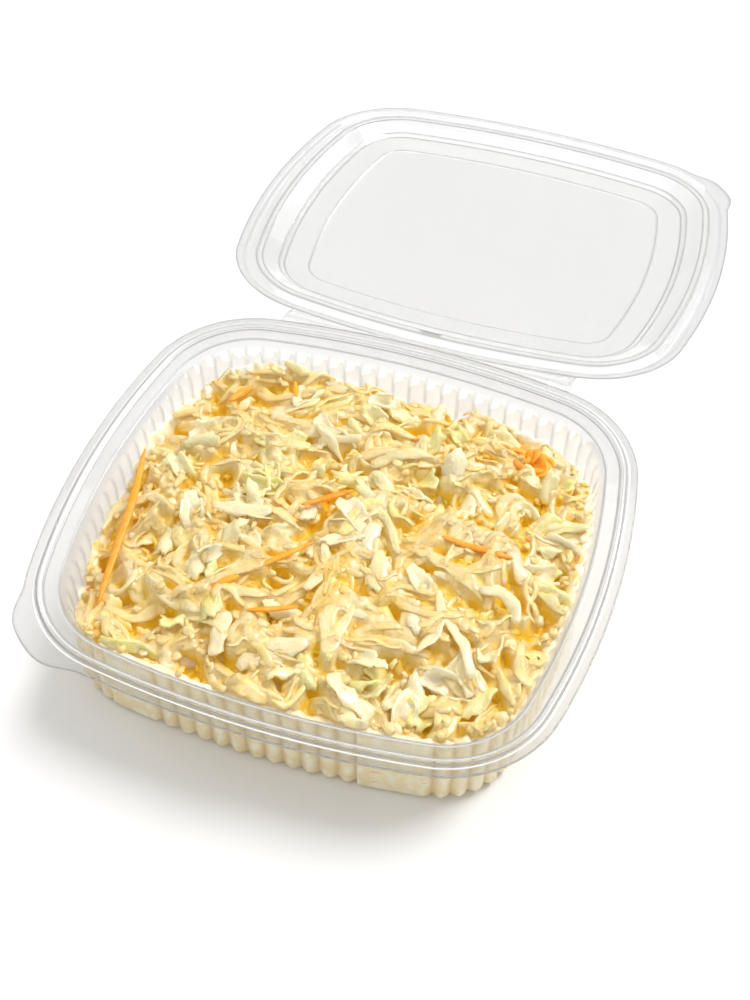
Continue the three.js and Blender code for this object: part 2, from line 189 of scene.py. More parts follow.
def sweptShell(profile, columns, tab, flutes=False):
    # point(share, t) = outline(angle(share), inset(t) + flute(t) * wave(share) - tab(share) * fade(t)), z(t);
    # two tones go with the points: painted shade darkens edges, beads and creases, a painted glint whitens
    # where light gathers
    shares = np.arange(columns) / columns
    angles = outlineAngles(shares)
    line = easedLine(profile["line"], profile["easeSteps"])
    inset, z, depth, shade, glint = (line[:, k:k + 1] for k in range(5))
    wave = fluteWave(shares, angles) if flutes else np.zeros(columns)
    fade = np.clip(1 - inset / tab["fadeInset"], 0, 1)
    moved = inset + depth * wave - tabReach(angles, tab)[None, :] * fade
    x, y = outlinePoints(angles[None, :], moved)
    rings = np.stack([x, y, z + 0 * x], axis=-1)
    pole = np.array([[0, 0, line[-1, 1]]])
    points = np.concatenate([rings.reshape(-1, 3), pole])
    quads = gridFaces(len(line), columns, closed=True)
    lastRing = np.arange(columns) + (len(line) - 1) * columns
    fan = np.stack([lastRing, np.roll(lastRing, -1), np.full(columns, len(points) - 1)], axis=-1)
    crease = (wave / paintedCreaseShade["fullAt"]) ** paintedCreaseShade["sharpness"]
    shade = shade + profile["creaseShade"] * np.clip(depth, 0, 1) * crease + 0 * x
    tones = {
        "shade": np.append(shade.ravel(), line[-1, 3]),
        "glint": np.append((glint + 0 * x).ravel(), 0),
    }
    return points, [quads[:, ::-1], fan[:, ::-1]], tones


def thicken(piece, thickness):
    # half of the thickness to each side of the surface
    wall = piece.modifiers.new("sheet", "SOLIDIFY")
    wall.thickness = thickness * mm
    wall.offset = 0
    wall.use_even_offset = True
    return piece


trayShell = {
    "line": [  # inset from the flange's edge, height, flute depth, painted shade, painted glint, easing
        (0.3, 37.2, 0, 0.6, 0, 0),
        (0.35, 37.65, 0, 0.5, 0, 0.12),
        (0.9, 37.65, 0, 0.24, 0, 0.1),
        (2.7, 37.65, 0, 0.22, 0, 0.15),
        (3.1, 37.7, 0, 0.1, 0.9, 0.1),
        (3.6, 37.85, 0, 0.15, 0, 0.1),
        (4.15, 38.3, 0, 0.9, 0, 0.12),
        (4.6, 38.55, 0, 0.12, 0, 0.12),
        (5.0, 38.65, 0, 0.08, 0, 0.15),
        (5.6, 38.4, 0, 0.1, 0.7, 0.12),
        (6.0, 38.05, 0, 0.2, 0.2, 0.1),
        (6.5, 37.72, 0, 0.9, 0, 0.1),
        (7.0, 37.68, 0, 0.16, 0, 0.15),
        (10.3, 37.7, 0, 0.14, 0, 0.2),
        (10.8, 37.7, 0, 0.08, 0.6, 0.1),
        (11.3, 37.62, 0, 0.8, 0, 0.12),
        (11.8, 37.3, 0, 0.2, 0, 0.2),
        (12.9, 35.6, 0, 0.16, 0, 0.5),
        (13.2, 34.2, 0.9, 0.06, 0, 0.5),
        (13.6, 31.4, 1.3, 0.05, 0, 1.2),
        (14.0, 20.0, 1.6, 0.04, 0, 1.5),
        (14.1, 2.6, 2.0, 0.03, 0, 1.4),
        (15.9, 0.25, 1.8, 0.03, 0, 1.0),
        (22, 0.25, 0, 0.0, 0, 0.8),
        (30, 0.25, 0, 0.0, 0, 0),
    ],
    "easeSteps": 5,
    "columnsPerFlute": 8,
    "creaseRound": 0.12,
    "creaseShade": 0.2,
    "panels": [(-55, -41), (31, 52)],  # the front has two stretches without flutes
    "tab": {"at": 231, "width": 22, "reach": 5.8, "fadeInset": 3.1},
}


def makeTray():
    # the swept shell with flutes, from the flange's edge to the middle of the bottom
    columns = tub["fluteCount"] * trayShell["columnsPerFlute"]
    points, faces, tones = sweptShell(trayShell, columns, trayShell["tab"], True)
    return thicken(meshPiece("trayShell", points, faces, tones), tub["sheet"])


hinge = {
    "y": 91.05,
    "z": 35.85,
    "middle": 1.4,  # the strip is a little off centre
    "halfLength": 55.3,
    "openAngle": math.radians(188.65),
}

lidShell = {
    "line": [  # as the lid lies shut: inset, height over its flange, flute depth (none), painted shade, painted glint, easing
        (0.3, -0.2, 0, 0.75, 0, 0),
        (0.35, 0, 0, 0.6, 0, 0.12),
        (0.9, 0, 0, 0.1, 0, 0.1),
        (2.5, 0, 0, 0.09, 0, 0.3),
        (3.4, 0.7, 0, 0.2, 0, 0.15),
        (4.1, 1.3, 0, 0.08, 0, 0.2),
        (5.25, 1.3, 0, 0.06, 0, 0.3),
        (7.4, 0.25, 0, 0.06, 0, 0.2),
        (7.8, 0.1, 0, 0.1, 0, 0.15),
        (8.2, 0, 0, 0.95, 0, 0.12),
        (8.7, 0, 0, 0.06, 0.3, 0.15),
        (10.1, 0, 0, 0.06, 0, 0.2),
        (10.6, 0, 0, 0.75, 0, 0.12),
        (11.1, 0.2, 0, 0.06, 0, 0.2),
        (16.6, 2.75, 0, 0.03, 0, 0.2),
        (17.1, 2.95, 0, 0.7, 0, 0.12),
        (17.6, 3.2, 0, 0.06, 0.3, 0.2),
        (18.7, 3.9, 0, 0.05, 0, 0.15),
        (19.2, 4.15, 0, 0.85, 0, 0.15),
        (19.8, 4.2, 0, 0.03, 0, 0.2),
        (28.4, 4.85, 0, 0.0, 0, 0.3),
        (29, 4.95, 0, 0.6, 0, 0.2),
        (29.8, 5.3, 0, 0.0, 0, 0.3),
        (40, 5.4, 0, 0.0, 0, 0),
    ],
    "easeSteps": 5,
    "columns": 480,
    "creaseShade": 0,
    # a small raised bar by the hinge, darkened with painted shade
    "mark": {"x": -1.0, "halfWidth": 3.6, "from": 8.5, "to": 10.3, "rise": 0.35, "shade": 0.75},
    "flange": 38.55,
    "tab": {"at": 322, "width": 17, "reach": 4.6, "fadeInset": 2.5},
}


def openLid(points):
    # swings points from the shut lid to the open one: a turn of -openAngle about the hinge line
    c, s = math.cos(-hinge["openAngle"]), math.sin(-hinge["openAngle"])
    y, z = points[..., 1] - hinge["y"], points[..., 2] - hinge["z"]
    return np.stack([points[..., 0], hinge["y"] + c * y - s * z, hinge["z"] + s * y + c * z], axis=-1)


def makeLid():
    # the swept shell, drawn shut on the tray's flange and swung open, with the bar raised near its back edge
    # and given painted shade
    points, faces, tones = sweptShell(lidShell, lidShell["columns"], lidShell["tab"])
    mark = lidShell["mark"]
    inset = tub["halfDepth"] - np.hypot(points[:, 0], points[:, 1] + arc["endShift"]) + arc["endShift"]
    across = np.abs(points[:, 0] - mark["x"]) < mark["halfWidth"]
    marked = across & (inset > mark["from"]) & (inset < mark["to"])
    points[:, 2] += lidShell["flange"] + mark["rise"] * marked
    # painted shade over the raised bar
    tones["shade"] = np.where(marked, mark["shade"], tones["shade"])
    return thicken(meshPiece("lidShell", openLid(points), faces, tones), tub["sheet"])


hingeStrip = {
    "columns": 64,
    "trayFlange": 37.65,
    "overlap": 0.5,  # how far the strip reaches into the flanges
    "ease": 2.0,
    "easeSteps": 9,
    "sheet": 0.25,
    # a faint painted shade over the whole strip
    "shade": 0.05,
    "foldFrom": 36.9,  # heights between which the strip passes from the tray to the lid
    "foldTo": 34.6,
}


def makeHingeStrip():
    # carries one section, tray flange - fold - lid flange, along the bowed back edge;
    # the fold is eased by the parabola (1-t)^2 before + 2t(1-t) fold + t^2 after
    x = np.linspace(-hinge["halfLength"], hinge["halfLength"], hingeStrip["columns"]) + hinge["middle"]
    root = np.sqrt((tub["endArc"] - hingeStrip["overlap"]) ** 2 - x ** 2) - arc["endShift"]
    trayRoot = np.stack([x, root, np.full_like(x, hingeStrip["trayFlange"])], axis=-1)
    fold = np.stack([x, np.full_like(x, hinge["y"]), np.full_like(x, hinge["z"])], axis=-1)
    lidRoot = openLid(np.stack([x, root, np.full_like(x, lidShell["flange"])], axis=-1))
    before = fold + unit(trayRoot - fold) * hingeStrip["ease"]
    after = fold + unit(lidRoot - fold) * hingeStrip["ease"]
    t = np.linspace(0, 1, hingeStrip["easeSteps"])[None, :, None]
    eased = (1 - t) ** 2 * before[:, None] + 2 * t * (1 - t) * fold[:, None] + t ** 2 * after[:, None]
    lines = np.concatenate([trayRoot[:, None], eased, lidRoot[:, None]], axis=1)
    quads = gridFaces(lines.shape[0], lines.shape[1])
    points = lines.reshape(-1, 3)
    shade = {"shade": np.full(len(points), hingeStrip["shade"])}
    return thicken(meshPiece("hingeStrip", points, [quads[:, ::-1]], shade), hingeStrip["sheet"])


heap = {
    "level": 29.5,
    "backward": -5.2,
    "sideward": 2.5,
    "crown": 9.8,
    "halfWidth": 80.0,
    "halfDepth": 74.0,
    "cell": 0.6,  # pitch of the height grid
    "settled": 1.6,  # the finished surface lies this far below the dome
    "startDepth": 6.5,  # and the first pieces this far below that
    "hills": 1.6,  # height, breadth and upper limit of the humps and hollows in the finished surface
    "hillSize": 4.6,
    "hillCap": 1.6,
    "hillSeed": 3,
    "startByWall": 0.65,  # share of the start depth that is left out by the wall
    "bareTone": 0.3,
    "full": -0.4,  # nothing more is laid where the heap already stands this far above its surface
    "capFrom": 39.4,  # pieces above this height are squeezed below the next one
    "capTo": 41.8,
    "lidUnder": ((11.2, 16.6, 19.8, 28), (37.9, 40.3, 41.4, 41.8)),  # insets, and the most that fits there
    "shoulder": 0.19,  # share of the radius over which the top falls to its height at the wall
    "edge": [  # height at the wall, by the angle of the wall's normal
        (0, 34), (6, 33), (12, 27), (20, 23), (50, 21.5), (60, 20), (76, 20.5), (82, 26), (85, 27.5),
        (87, 20), (91, 24), (94, 25), (97, 28), (102, 30), (114, 27), (128, 27), (134, 24.5), (142, 21),
        (150, 24.5), (166, 22.5), (174, 28), (180, 24), (186, 26), (194, 22), (206, 21.5), (218, 26),
        (232, 32), (245, 34.4), (270, 34.8), (330, 34.8), (350, 34.6), (360, 34),
    ],
}

polarAngles = np.linspace(-math.pi, math.pi, 1441)


def polarTable(inset):
    # distance from the middle to the inset outline, for each direction
    x, y = outlinePoints(np.linspace(0, 2 * math.pi, 2881), inset)
    return np.interp(polarAngles, np.arctan2(y, x), np.hypot(x, y), period=2 * math.pi)


tableInsets = (12.0, 20.0)
outerWall, innerWall = (polarTable(inset) for inset in tableInsets)
normals = np.linspace(0, 2 * math.pi, 2881)
edgeX, edgeY = outlinePoints(normals, 14.0)
edgeLevel = np.interp(
    polarAngles,
    np.arctan2(edgeY, edgeX),
    np.interp(np.degrees(normals), *np.array(heap["edge"], float).T),
    period=2 * math.pi,
)


def wallTables(x, y):
    # distances from the middle to the two tabled outlines, in the direction of (x, y)
    direction = np.arctan2(y, x)
    return (np.interp(direction, polarAngles, table) for table in (outerWall, innerWall))


def wallRadius(x, y, inset):
    # distance from the middle to the outline moved in by inset, in the direction of (x, y):
    # outer + (inner - outer) * (inset - 12) / 8
    outer, inner = wallTables(x, y)
    return outer + (inner - outer) * (inset - tableInsets[0]) / (tableInsets[1] - tableInsets[0])


def insetOf(x, y):
    # how far a point lies in from the outline, along its direction from the middle
    outer, inner = wallTables(x, y)
    return tableInsets[0] + (tableInsets[1] - tableInsets[0]) * (outer - np.hypot(x, y)) / (outer - inner)


def wallInset(z):
    # inset of the wall's inner face at a height
    return np.interp(z, [0, 2.6, 34, 36, 38], [19.5, 16.6, 14.3, 13.5, 12.0])


gridX = np.arange(-84, 84.01, heap["cell"])
gridY = np.arange(-78, 78.01, heap["cell"])
meshX, meshY = np.meshgrid(gridX, gridY, indexing="ij")


def sampled(field, x, y):
    # height between the grid's points, weighted by closeness
    i = np.clip((x - gridX[0]) / heap["cell"], 0, len(gridX) - 1.001)
    j = np.clip((y - gridY[0]) / heap["cell"], 0, len(gridY) - 1.001)
    a, b = i.astype(int), j.astype(int)
    s, t = i - a, j - b
    low = (1 - s) * field[a, b] + s * field[a + 1, b]
    high = (1 - s) * field[a, b + 1] + s * field[a + 1, b + 1]
    return low * (1 - t) + high * t


def blurred(field, sigma):
    # the grid averaged along both axes with the bell exp(-d^2 / (2 sigma^2)); sigma in millimetres
    sigma = sigma / heap["cell"]
    reach = int(3 * sigma + 1)
    bell = np.exp(-0.5 * (np.arange(-reach, reach + 1) / sigma) ** 2)
    bell = bell / bell.sum()
    for axis in (0, 1):
        rows = np.moveaxis(np.pad(field, reach, mode="edge"), axis, 0)
        mixed = sum(weight * rows[k:len(rows) - 2 * reach + k] for k, weight in enumerate(bell))
        field = np.moveaxis(mixed, 0, axis)
        field = field[:, reach:-reach] if axis == 0 else field[reach:-reach]
    return field


def lumpField(seed, size):
    # smooth random hills of about one millimetre, as broad as size
    field = blurred(np.random.default_rng(seed).normal(0, 1, meshX.shape), size)
    return field / field.std()


hills = np.minimum(heap["hills"] * lumpField(heap["hillSeed"], heap["hillSize"]), heap["hillCap"])


def heapTarget(x, y):
    # level + lean + crown * (1 - out^3) + hills, falling over the shoulder to the height at the wall
    out = np.minimum(1, np.hypot(x / heap["halfWidth"], y / heap["halfDepth"]))
    lean = heap["backward"] * y / heap["halfDepth"] + heap["sideward"] * x / heap["halfWidth"]
    dome = heap["level"] + lean + heap["crown"] * (1 - out ** 3) + sampled(hills, x, y) - heap["settled"]
    near = np.hypot(x, y) / wallRadius(x, y, 14.0)
    share = smoothStep((near - 1 + heap["shoulder"]) / heap["shoulder"])
    edge = np.interp(np.arctan2(y, x), polarAngles, edgeLevel)
    return dome + (edge - dome) * share


nearWall = smoothStep((np.hypot(meshX, meshY) / wallRadius(meshX, meshY, 14.5) - 0.93) / 0.07)
heapTop = heapTarget(meshX, meshY) - heap["startDepth"] * (1 - heap["startByWall"] * nearWall)
heapTone = np.full(meshX.shape, heap["bareTone"])


def pressInside(points, margin):
    # pulls points that would cross the wall back along their radius, and keeps the highest under the lid:
    # above capFrom, z = capTo - room * exp(-(z - capFrom) / room)
    x, y, z = points[..., 0], points[..., 1], points[..., 2]
    room = heap["capTo"] - heap["capFrom"]
    squeezed = heap["capTo"] - room * np.exp(-np.maximum(z - heap["capFrom"], 0) / room)
    z = np.where(z > heap["capFrom"], squeezed, z)
    limit = wallRadius(x, y, wallInset(z) + margin)
    out = np.maximum(np.hypot(x, y), 1e-6)
    scale = np.minimum(1, limit / out)
    x, y = x * scale, y * scale
    return np.stack([x, y, np.minimum(z, np.interp(insetOf(x, y), *heap["lidUnder"]))], axis=-1)


def raiseHeap(points, tone):
    # the height grid rises to the points laid on it, highest last, and takes their tone
    points = points.reshape(-1, 3)[np.argsort(points[..., 2].ravel())]
    i = np.clip(np.rint((points[:, 0] - gridX[0]) / heap["cell"]).astype(int), 0, len(gridX) - 1)
    j = np.clip(np.rint((points[:, 1] - gridY[0]) / heap["cell"]).astype(int), 0, len(gridY) - 1)
    higher = points[:, 2] > heapTop[i, j]
    heapTop[i[higher], j[higher]] = points[higher, 2]
    heapTone[i[higher], j[higher]] = tone


search = {"halfWidth": 82, "halfDepth": 76, "wallInset": 14.8, "reach": 0.985, "outside": -99}


def lowestSpot(rng, tries, reach=search["reach"]):
    # of a few random spots, the one that lies deepest below the finished surface
    x = rng.uniform(-search["halfWidth"], search["halfWidth"], tries)
    y = rng.uniform(-search["halfDepth"], search["halfDepth"], tries)
    inside = np.hypot(x, y) < wallRadius(x, y, search["wallInset"]) * reach
    depth = np.where(inside, heapTarget(x, y) - sampled(heapTop, x, y), search["outside"])
    best = int(np.argmax(depth))
    return x[best], y[best]


def smoothRows(values, passes=2):
    # repeated three-point averages along the last axis, ends kept
    for _ in range(passes):
        padded = np.concatenate([values[..., :1], values, values[..., -1:]], axis=-1)
        values = (padded[..., :-2] + 2 * padded[..., 1:-1] + padded[..., 2:]) / 4
    return values


def newStrip(rng, make, fixed):
    # one strip's own sizes, drawn from its kind's ranges and spreads; fixed ones replace what was drawn
    strip = {key: rng.uniform(*make[key]) for key in ("length", "width", "thickness")}
    strip.update({key: rng.normal(0, make[key]) for key in ("bend", "pitch", "roll", "twist", "cup")})
    strip.update({"turn": rng.uniform(0, 2 * math.pi), "tone": rng.random(), "phase": rng.uniform(0, 6.28)})
    strip.update(fixed)
    return strip


resting = {
    "sampleHeight": 33.0,  # height at which a strip is kept within the wall
    "wallMargin": 0.15,  # share of its width
    "feel": 0.3,  # it feels the ground this share of its width to either side
    "steepest": 0.5,
    "follow": 0.6,  # share of the ground's slope that it takes up
    "settle": 2,  # the most that a strip stands above its ground in the height grid
    "footprint": 0.48,
    "rows": 11,
    "spacing": 0.4,
}


def layStrip(rng, x, y, make, **fixed):
    # heading(v) = turn + bend v + sway sin(2 pi v + phase);
    # height(v) = a parabola through the ground + pitch + arch, at most the finished surface + proud
    strip = newStrip(rng, make, fixed)
    steps, width, length, thickness = make["steps"], strip["width"], strip["length"], strip["thickness"]
    v = np.linspace(-0.5, 0.5, steps)
    sway = rng.normal(0, make["sway"]) * np.sin(2 * math.pi * v + strip["phase"])
    heading = strip["turn"] + strip["bend"] * v + sway
    px = np.cumsum(np.cos(heading)) * length / (steps - 1)
    py = np.cumsum(np.sin(heading)) * length / (steps - 1)
    px, py = px - px[steps // 2] + x, py - py[steps // 2] + y
    flat = np.stack([px, py, np.full(steps, resting["sampleHeight"])], axis=-1)
    px, py = pressInside(flat, resting["wallMargin"] * width)[:, :2].T
    nx, ny = -np.sin(heading), np.cos(heading)
    feel = width * resting["feel"]
    left, middle, right = (sampled(heapTop, px + nx * d, py + ny * d) for d in (feel, 0, -feel))
    ground = (left + middle + right) / 3
    level = np.polyval(np.polyfit(v, ground, 2), v)
    level = level + make["bridge"] * max(0.0, (ground - level).max()) + thickness * 0.5 - make["sink"]
    rise = strip["pitch"] * length * v + abs(strip["pitch"]) * length * 0.2
    z = level + rise + make["arch"] * rng.uniform(0, 1) * (1 - (2 * v) ** 2)
    z = np.minimum(z, np.maximum(heapTarget(px, py) + make["proud"], level))
    slope = np.clip(np.arctan2(left - right, 0.6 * width), -resting["steepest"], resting["steepest"])
    strip["roll"] = smoothRows(slope * resting["follow"], 1) + strip["roll"] + strip["twist"] * v
    strip["line"] = np.stack([px, py, z], axis=-1)
    spread = np.linspace(-resting["footprint"], resting["footprint"], resting["rows"])
    dense = np.linspace(0, steps - 1, int(length / resting["spacing"]))
    top = np.minimum(z, level + resting["settle"])
    rows = [np.interp(dense, np.arange(steps), row)[:, None] for row in (px, py, nx, ny, top, strip["roll"])]
    offset = spread * width * np.cos(rows[5])
    raised = spread * width * np.sin(rows[5]) + 0.5 * thickness * np.sqrt(1 - 3.6 * spread ** 2)
    covered = np.stack([rows[0] + rows[2] * offset, rows[1] + rows[3] * offset, rows[4] + raised], axis=-1)
    raiseHeap(covered, make["shade"] + 0.25 * strip["tone"])
    return strip


bundle = {"gap": 0.85, "slip": 2.0, "turn": 0.14, "bend": 0.15, "phase": 0.3}  # how far its strips differ


def layBundle(rng, x, y, make):
    # a few strips side by side that turn and bend alike
    count = rng.integers(1, make["bundle"] + 1)
    turn, bend, phase = rng.uniform(0, 2 * math.pi), rng.normal(0, make["bend"]), rng.uniform(0, 6.28)
    gap = np.mean(make["width"]) * bundle["gap"]
    laid = []
    for k in range(count):
        aside, along = (k - (count - 1) / 2) * gap, rng.normal(0, bundle["slip"])
        spot = (x - math.sin(turn) * aside + math.cos(turn) * along,
                y + math.cos(turn) * aside + math.sin(turn) * along)
        laid.append(layStrip(
            rng, *spot, make,
            turn=turn + rng.normal(0, bundle["turn"]),
            bend=bend + rng.normal(0, bundle["bend"]),
            phase=phase + rng.normal(0, bundle["phase"]),
        ))
    return laid


def pathStrip(rng, path, make, **fixed):
    # a strip along measured points: even steps on the straight lines between them, averaged once
    strip = newStrip(rng, make, fixed)
    path = np.array(path, float)
    marks = np.concatenate([[0], np.cumsum(np.linalg.norm(np.diff(path, axis=0), axis=1))])
    along = np.linspace(0, marks[-1], make["steps"])
    line = np.stack([np.interp(along, marks, path[:, k]) for k in range(3)])
    strip["line"] = smoothRows(line, 1).T
    strip["roll"] = strip["roll"] + strip["twist"] * np.linspace(-0.5, 0.5, make["steps"])
    return strip


def stripPiece(name, laid, make):
    # point(v, corner) = line(v) + side(v) * across + up(v) * raised; each edge is torn and ruffled on its own
    rng = np.random.default_rng(make["seed"] + 1000)
    lines = np.array([strip["line"] for strip in laid])
    count, steps, _ = lines.shape
    sides = make["sides"]
    column = lambda key: np.array([strip[key] for strip in laid], float)[:, None, None]
    tangent = unit(np.gradient(lines, axis=1))
    side = unit(np.cross(np.array([0.0, 0.0, 1.0]), tangent))
    up = np.cross(tangent, side)
    rolls = np.array([strip["roll"] for strip in laid])[..., None]
    side, up = side * np.cos(rolls) + up * np.sin(rolls), up * np.cos(rolls) - side * np.sin(rolls)
    v = np.linspace(0, 1, steps)[None, :, None]
    corner = 2 * math.pi * (np.arange(sides) + 0.5) / sides
    a, b = (np.sign(side) * np.abs(side) ** 0.8 for side in (np.cos(corner), np.sin(corner)))
    tip = 1 - np.abs(2 * v - 1) ** make["tipPower"] * make["tipNarrowing"]
    torn = smoothRows(rng.normal(0, make["ragged"], (count, 2, steps)), make["tearBlur"])
    torn = 1 + np.where(a[None, None] > 0, torn[:, 0, :, None], torn[:, 1, :, None])
    across = a * column("width") / 2 * tip * torn
    edge = (across * 2 / column("width")) ** 2
    wave = np.sin(2 * math.pi * make["ruffles"] * v + column("phase") + np.where(a > 0, 0.0, 2.2))
    raised = b * column("thickness") / 2 * (0.3 + 0.7 * tip) + column("cup") * edge * column("width") / 2
    raised = raised + make["ruffle"] * edge * wave
    points = lines[:, :, None] + side[:, :, None] * across[..., None] + up[:, :, None] * raised[..., None]
    points = pressInside(points, 0.0)
    index = np.arange(count * steps * sides).reshape(count, steps, sides)
    nextSide = np.roll(index, -1, axis=2)
    quads = np.stack([index[:, :-1], nextSide[:, :-1], nextSide[:, 1:], index[:, 1:]], axis=-1).reshape(-1, 4)
    caps = np.concatenate([index[:, 0, ::-1], index[:, -1]])
    grain = np.stack([across, v * column("length") + 0 * across, column("tone") * 90 + 0 * across], axis=-1)
    tone = np.broadcast_to(column("tone"), across.shape)
    return meshPiece(name, points.reshape(-1, 3), [quads, caps],
                     {"grain": grain.reshape(-1, 3), "tone": tone.reshape(-1)})


# each kind: how many, the ranges of its sizes in millimetres, and the spread of its turns in radians;
# tries is how many spots are looked at before one is laid, shade its tone in the dressing over it
anyShred = {
    "steps": 12, "sides": 8, "tearBlur": 1, "tipPower": 4, "tipNarrowing": 0.55,
    "cup": 0.1, "bridge": 0.4, "sink": 0.3, "tries": 5,
}
ribShreds = {
    **anyShred,
    "seed": 11, "count": 370, "bundle": 4, "length": (10, 25), "width": (1.9, 3.5), "thickness": (1.2, 2.0),
    "bend": 0.6, "sway": 0.25, "arch": 0.8, "pitch": 0.15, "roll": 0.25, "twist": 0.4, "cup": 0.05,
    "sink": 0.5, "proud": 1.7, "steps": 8, "ragged": 0.2, "tipPower": 6, "tipNarrowing": 0.45,
    "ruffle": 0.25, "ruffles": 1.6, "shade": 0.05,
}
ivoryRibbons = {
    **anyShred,
    "seed": 17, "count": 250, "bundle": 3, "length": (13, 30), "width": (2.6, 5.2), "thickness": (0.9, 1.5),
    "bend": 1.0, "sway": 0.5, "arch": 1.4, "pitch": 0.14, "roll": 0.28, "twist": 0.7, "bridge": 0.35,
    "sink": 0.4, "proud": 2.0, "ragged": 0.26, "ruffle": 0.6, "ruffles": 2.4, "shade": 0.25,
}
paleRibbons = {
    **anyShred,
    "seed": 23, "count": 150, "bundle": 2, "length": (13, 32), "width": (3.0, 6.0), "thickness": (0.8, 1.3),
    "bend": 1.1, "sway": 0.6, "arch": 1.7, "pitch": 0.16, "roll": 0.32, "twist": 0.9, "cup": 0.18,
    "proud": 2.4, "ragged": 0.28, "ruffle": 0.8, "ruffles": 2.6, "shade": 0.5,
}
fineShreds = {
    **anyShred,
    "seed": 29, "count": 260, "bundle": 3, "length": (8, 22), "width": (1.2, 2.2), "thickness": (0.7, 1.2),
    "bend": 0.9, "sway": 0.5, "arch": 1.2, "pitch": 0.16, "roll": 0.3, "twist": 0.6, "cup": 0.05,
    "proud": 2.0, "steps": 10, "sides": 6, "ragged": 0.25, "ruffle": 0.3, "ruffles": 2.2, "shade": 0.3,
    "tries": 4,
}
carrotShreds = {
    **anyShred,
    "seed": 31, "count": 22, "bundle": 1, "length": (7, 16), "width": (1.6, 3.0), "thickness": (0.9, 1.5),
    "bend": 0.8, "sway": 0.3, "arch": 0.8, "pitch": 0.12, "roll": 0.3, "twist": 0.8, "bridge": 0.3,
    "sink": 0.7, "proud": 0.9, "steps": 11, "sides": 6, "ragged": 0.13, "tipPower": 3,
    "tipNarrowing": 0.75, "ruffle": 0.1, "ruffles": 1.5, "shade": 0.1, "tries": 2,
}

carrotPaths = [  # measured lines and widths of the carrot shreds that show most
    ([(-80.4, 18.6, 27.3), (-76.2, 5.7, 29.6), (-71.7, -9.5, 32), (-69, -25.3, 32.5), (-67.3, -39.6, 31.4),
      (-63.6, -56.6, 32.4)], 3.0),
    ([(-80.0, 21, 27.0), (-78.8, 24, 26), (-78, 30, 24)], 2.0),
    ([(33.7, 2.9, 41.3), (42.7, 2, 40.8), (51.1, 2.6, 39.9), (59.5, 3.2, 38.5)], 2.6),
    ([(-14.5, 0.2, 40.7), (-7.7, 6, 40.6), (0.5, 12.8, 40.4)], 2.6),
    ([(-37.7, -43.8, 38.1), (-28.8, -39.9, 39.8), (-22.3, -34.2, 40.9)], 3.2),
    ([(-20.2, -31.7, 41.0), (-15.2, -25.7, 41.6), (-7.9, -17.6, 41.8), (-4.3, -13.1, 41.8)], 2.4),
    ([(-15.7, -46.4, 40.5), (-6.7, -43.2, 41.4), (0.5, -39.8, 42)], 2.2),
    ([(78.2, 24, 31.6), (79.4, 15, 32.4), (79.6, 6.4, 33)], 2.6),
    ([(-57.5, 42, 34.5), (-55.5, 49, 33), (-53.5, 55, 31)], 3.0),
    ([(-35.5, 52, 34.6), (-37.5, 57, 33.4), (-39.5, 61, 32.6)], 2.0),
]
carrotCurls = {
    "middle": (50.5, 54.5, 30.4),
    "scatter": (2.8, 2.6, 0.5),
    "count": 11,
    "radius": (1.8, 4.8),
    "wobble": 0.25,
    "turns": (3.6, 6.6),  # radians that a curl goes round
    "lean": 0.5,
    "rise": 0.8,
    "width": 2.6,
    "thickness": 1.0,
}


def curlPath(rng, make, steps):
    # a loop: middle + radius (1 + wobble sin 2t) * (cos t, sin t), leaned and turned, with a rise of sin 1.5t
    t = rng.uniform(0, 6.28) + np.linspace(0, rng.uniform(*make["turns"]), steps)
    radius = rng.uniform(*make["radius"]) * (1 + make["wobble"] * np.sin(2 * t + rng.uniform(0, 6)))
    lean, turn = rng.normal(0, make["lean"]), rng.uniform(0, 6.28)
    x, y = radius * np.cos(t), radius * np.sin(t)
    z = y * math.sin(lean) + make["rise"] * np.sin(t * 1.5)
    middle = np.array(make["middle"]) + rng.normal(0, 1, 3) * make["scatter"]
    return np.stack([
        middle[0] + x * math.cos(turn) - y * math.sin(turn) * math.cos(lean),
        middle[1] + x * math.sin(turn) + y * math.cos(turn) * math.cos(lean),
        middle[2] + z,
    ], axis=-1)


paleStrips = [  # measured broad pale shreds: points along each, width, how far it rolls
    ([(-10.5, -66.8, 37.2), (-7.6, -62.5, 38.6), (-2, -58.4, 39.6), (8, -50.9, 41.0)], 7.0, 0.15),
    ([(17.5, -59.5, 39.4), (22, -63.2, 38.8), (28, -66.6, 37.4), (35, -69.4, 36.2)], 6.4, -0.2),
    ([(40, -18, 41.2), (44, -27, 41), (45, -35, 40.6), (40, -45, 40.2)], 3.6, 0.3),
    ([(44, -25, 41.2), (50, -33, 40.4), (56, -39, 39.4), (60, -47, 38.4)], 3.8, -0.3),
    ([(52, -14, 40.6), (58, -12, 40.4), (64, -14, 39.2), (67, -22, 38.2)], 4.2, 0.2),
    ([(-43, -8, 39.2), (-36, -8.5, 40), (-29, -7.5, 40.6), (-22, -5.5, 41)], 4.6, 0.2),
    ([(-20.8, -48, 39.8), (-20.4, -56, 39.2), (-19.6, -65, 37.6)], 5.4, 0.1),
    ([(-2, -12, 41.4), (2, -19, 41.6), (2, -27, 41.4), (-1, -33, 41)], 4.6, -0.2),
]

choppedBits = {
    "count": 300,
    "byWall": 50,  # and as many more along the wall, between these insets
    "wallInset": (15.6, 19.0),
    "size": (2.0, 5.0),
    "smallest": (0.75, 0.5, 0.3),  # shares of that size along the three axes
    "largest": (1.0, 0.9, 0.6),
    "sunk": 0.2,
    "proud": 0.6,
    "rings": 4,
    "sides": 6,
    "square": 0.65,
    "lumps": 0.16,
    "lean": 0.5,
    "tries": 4,
}


def turned(first, second, angle):
    # (first, second) turned by angle: (a cos - b sin, a sin + b cos)
    c, s = np.cos(angle), np.sin(angle)
    return first * c - second * s, first * s + second * c


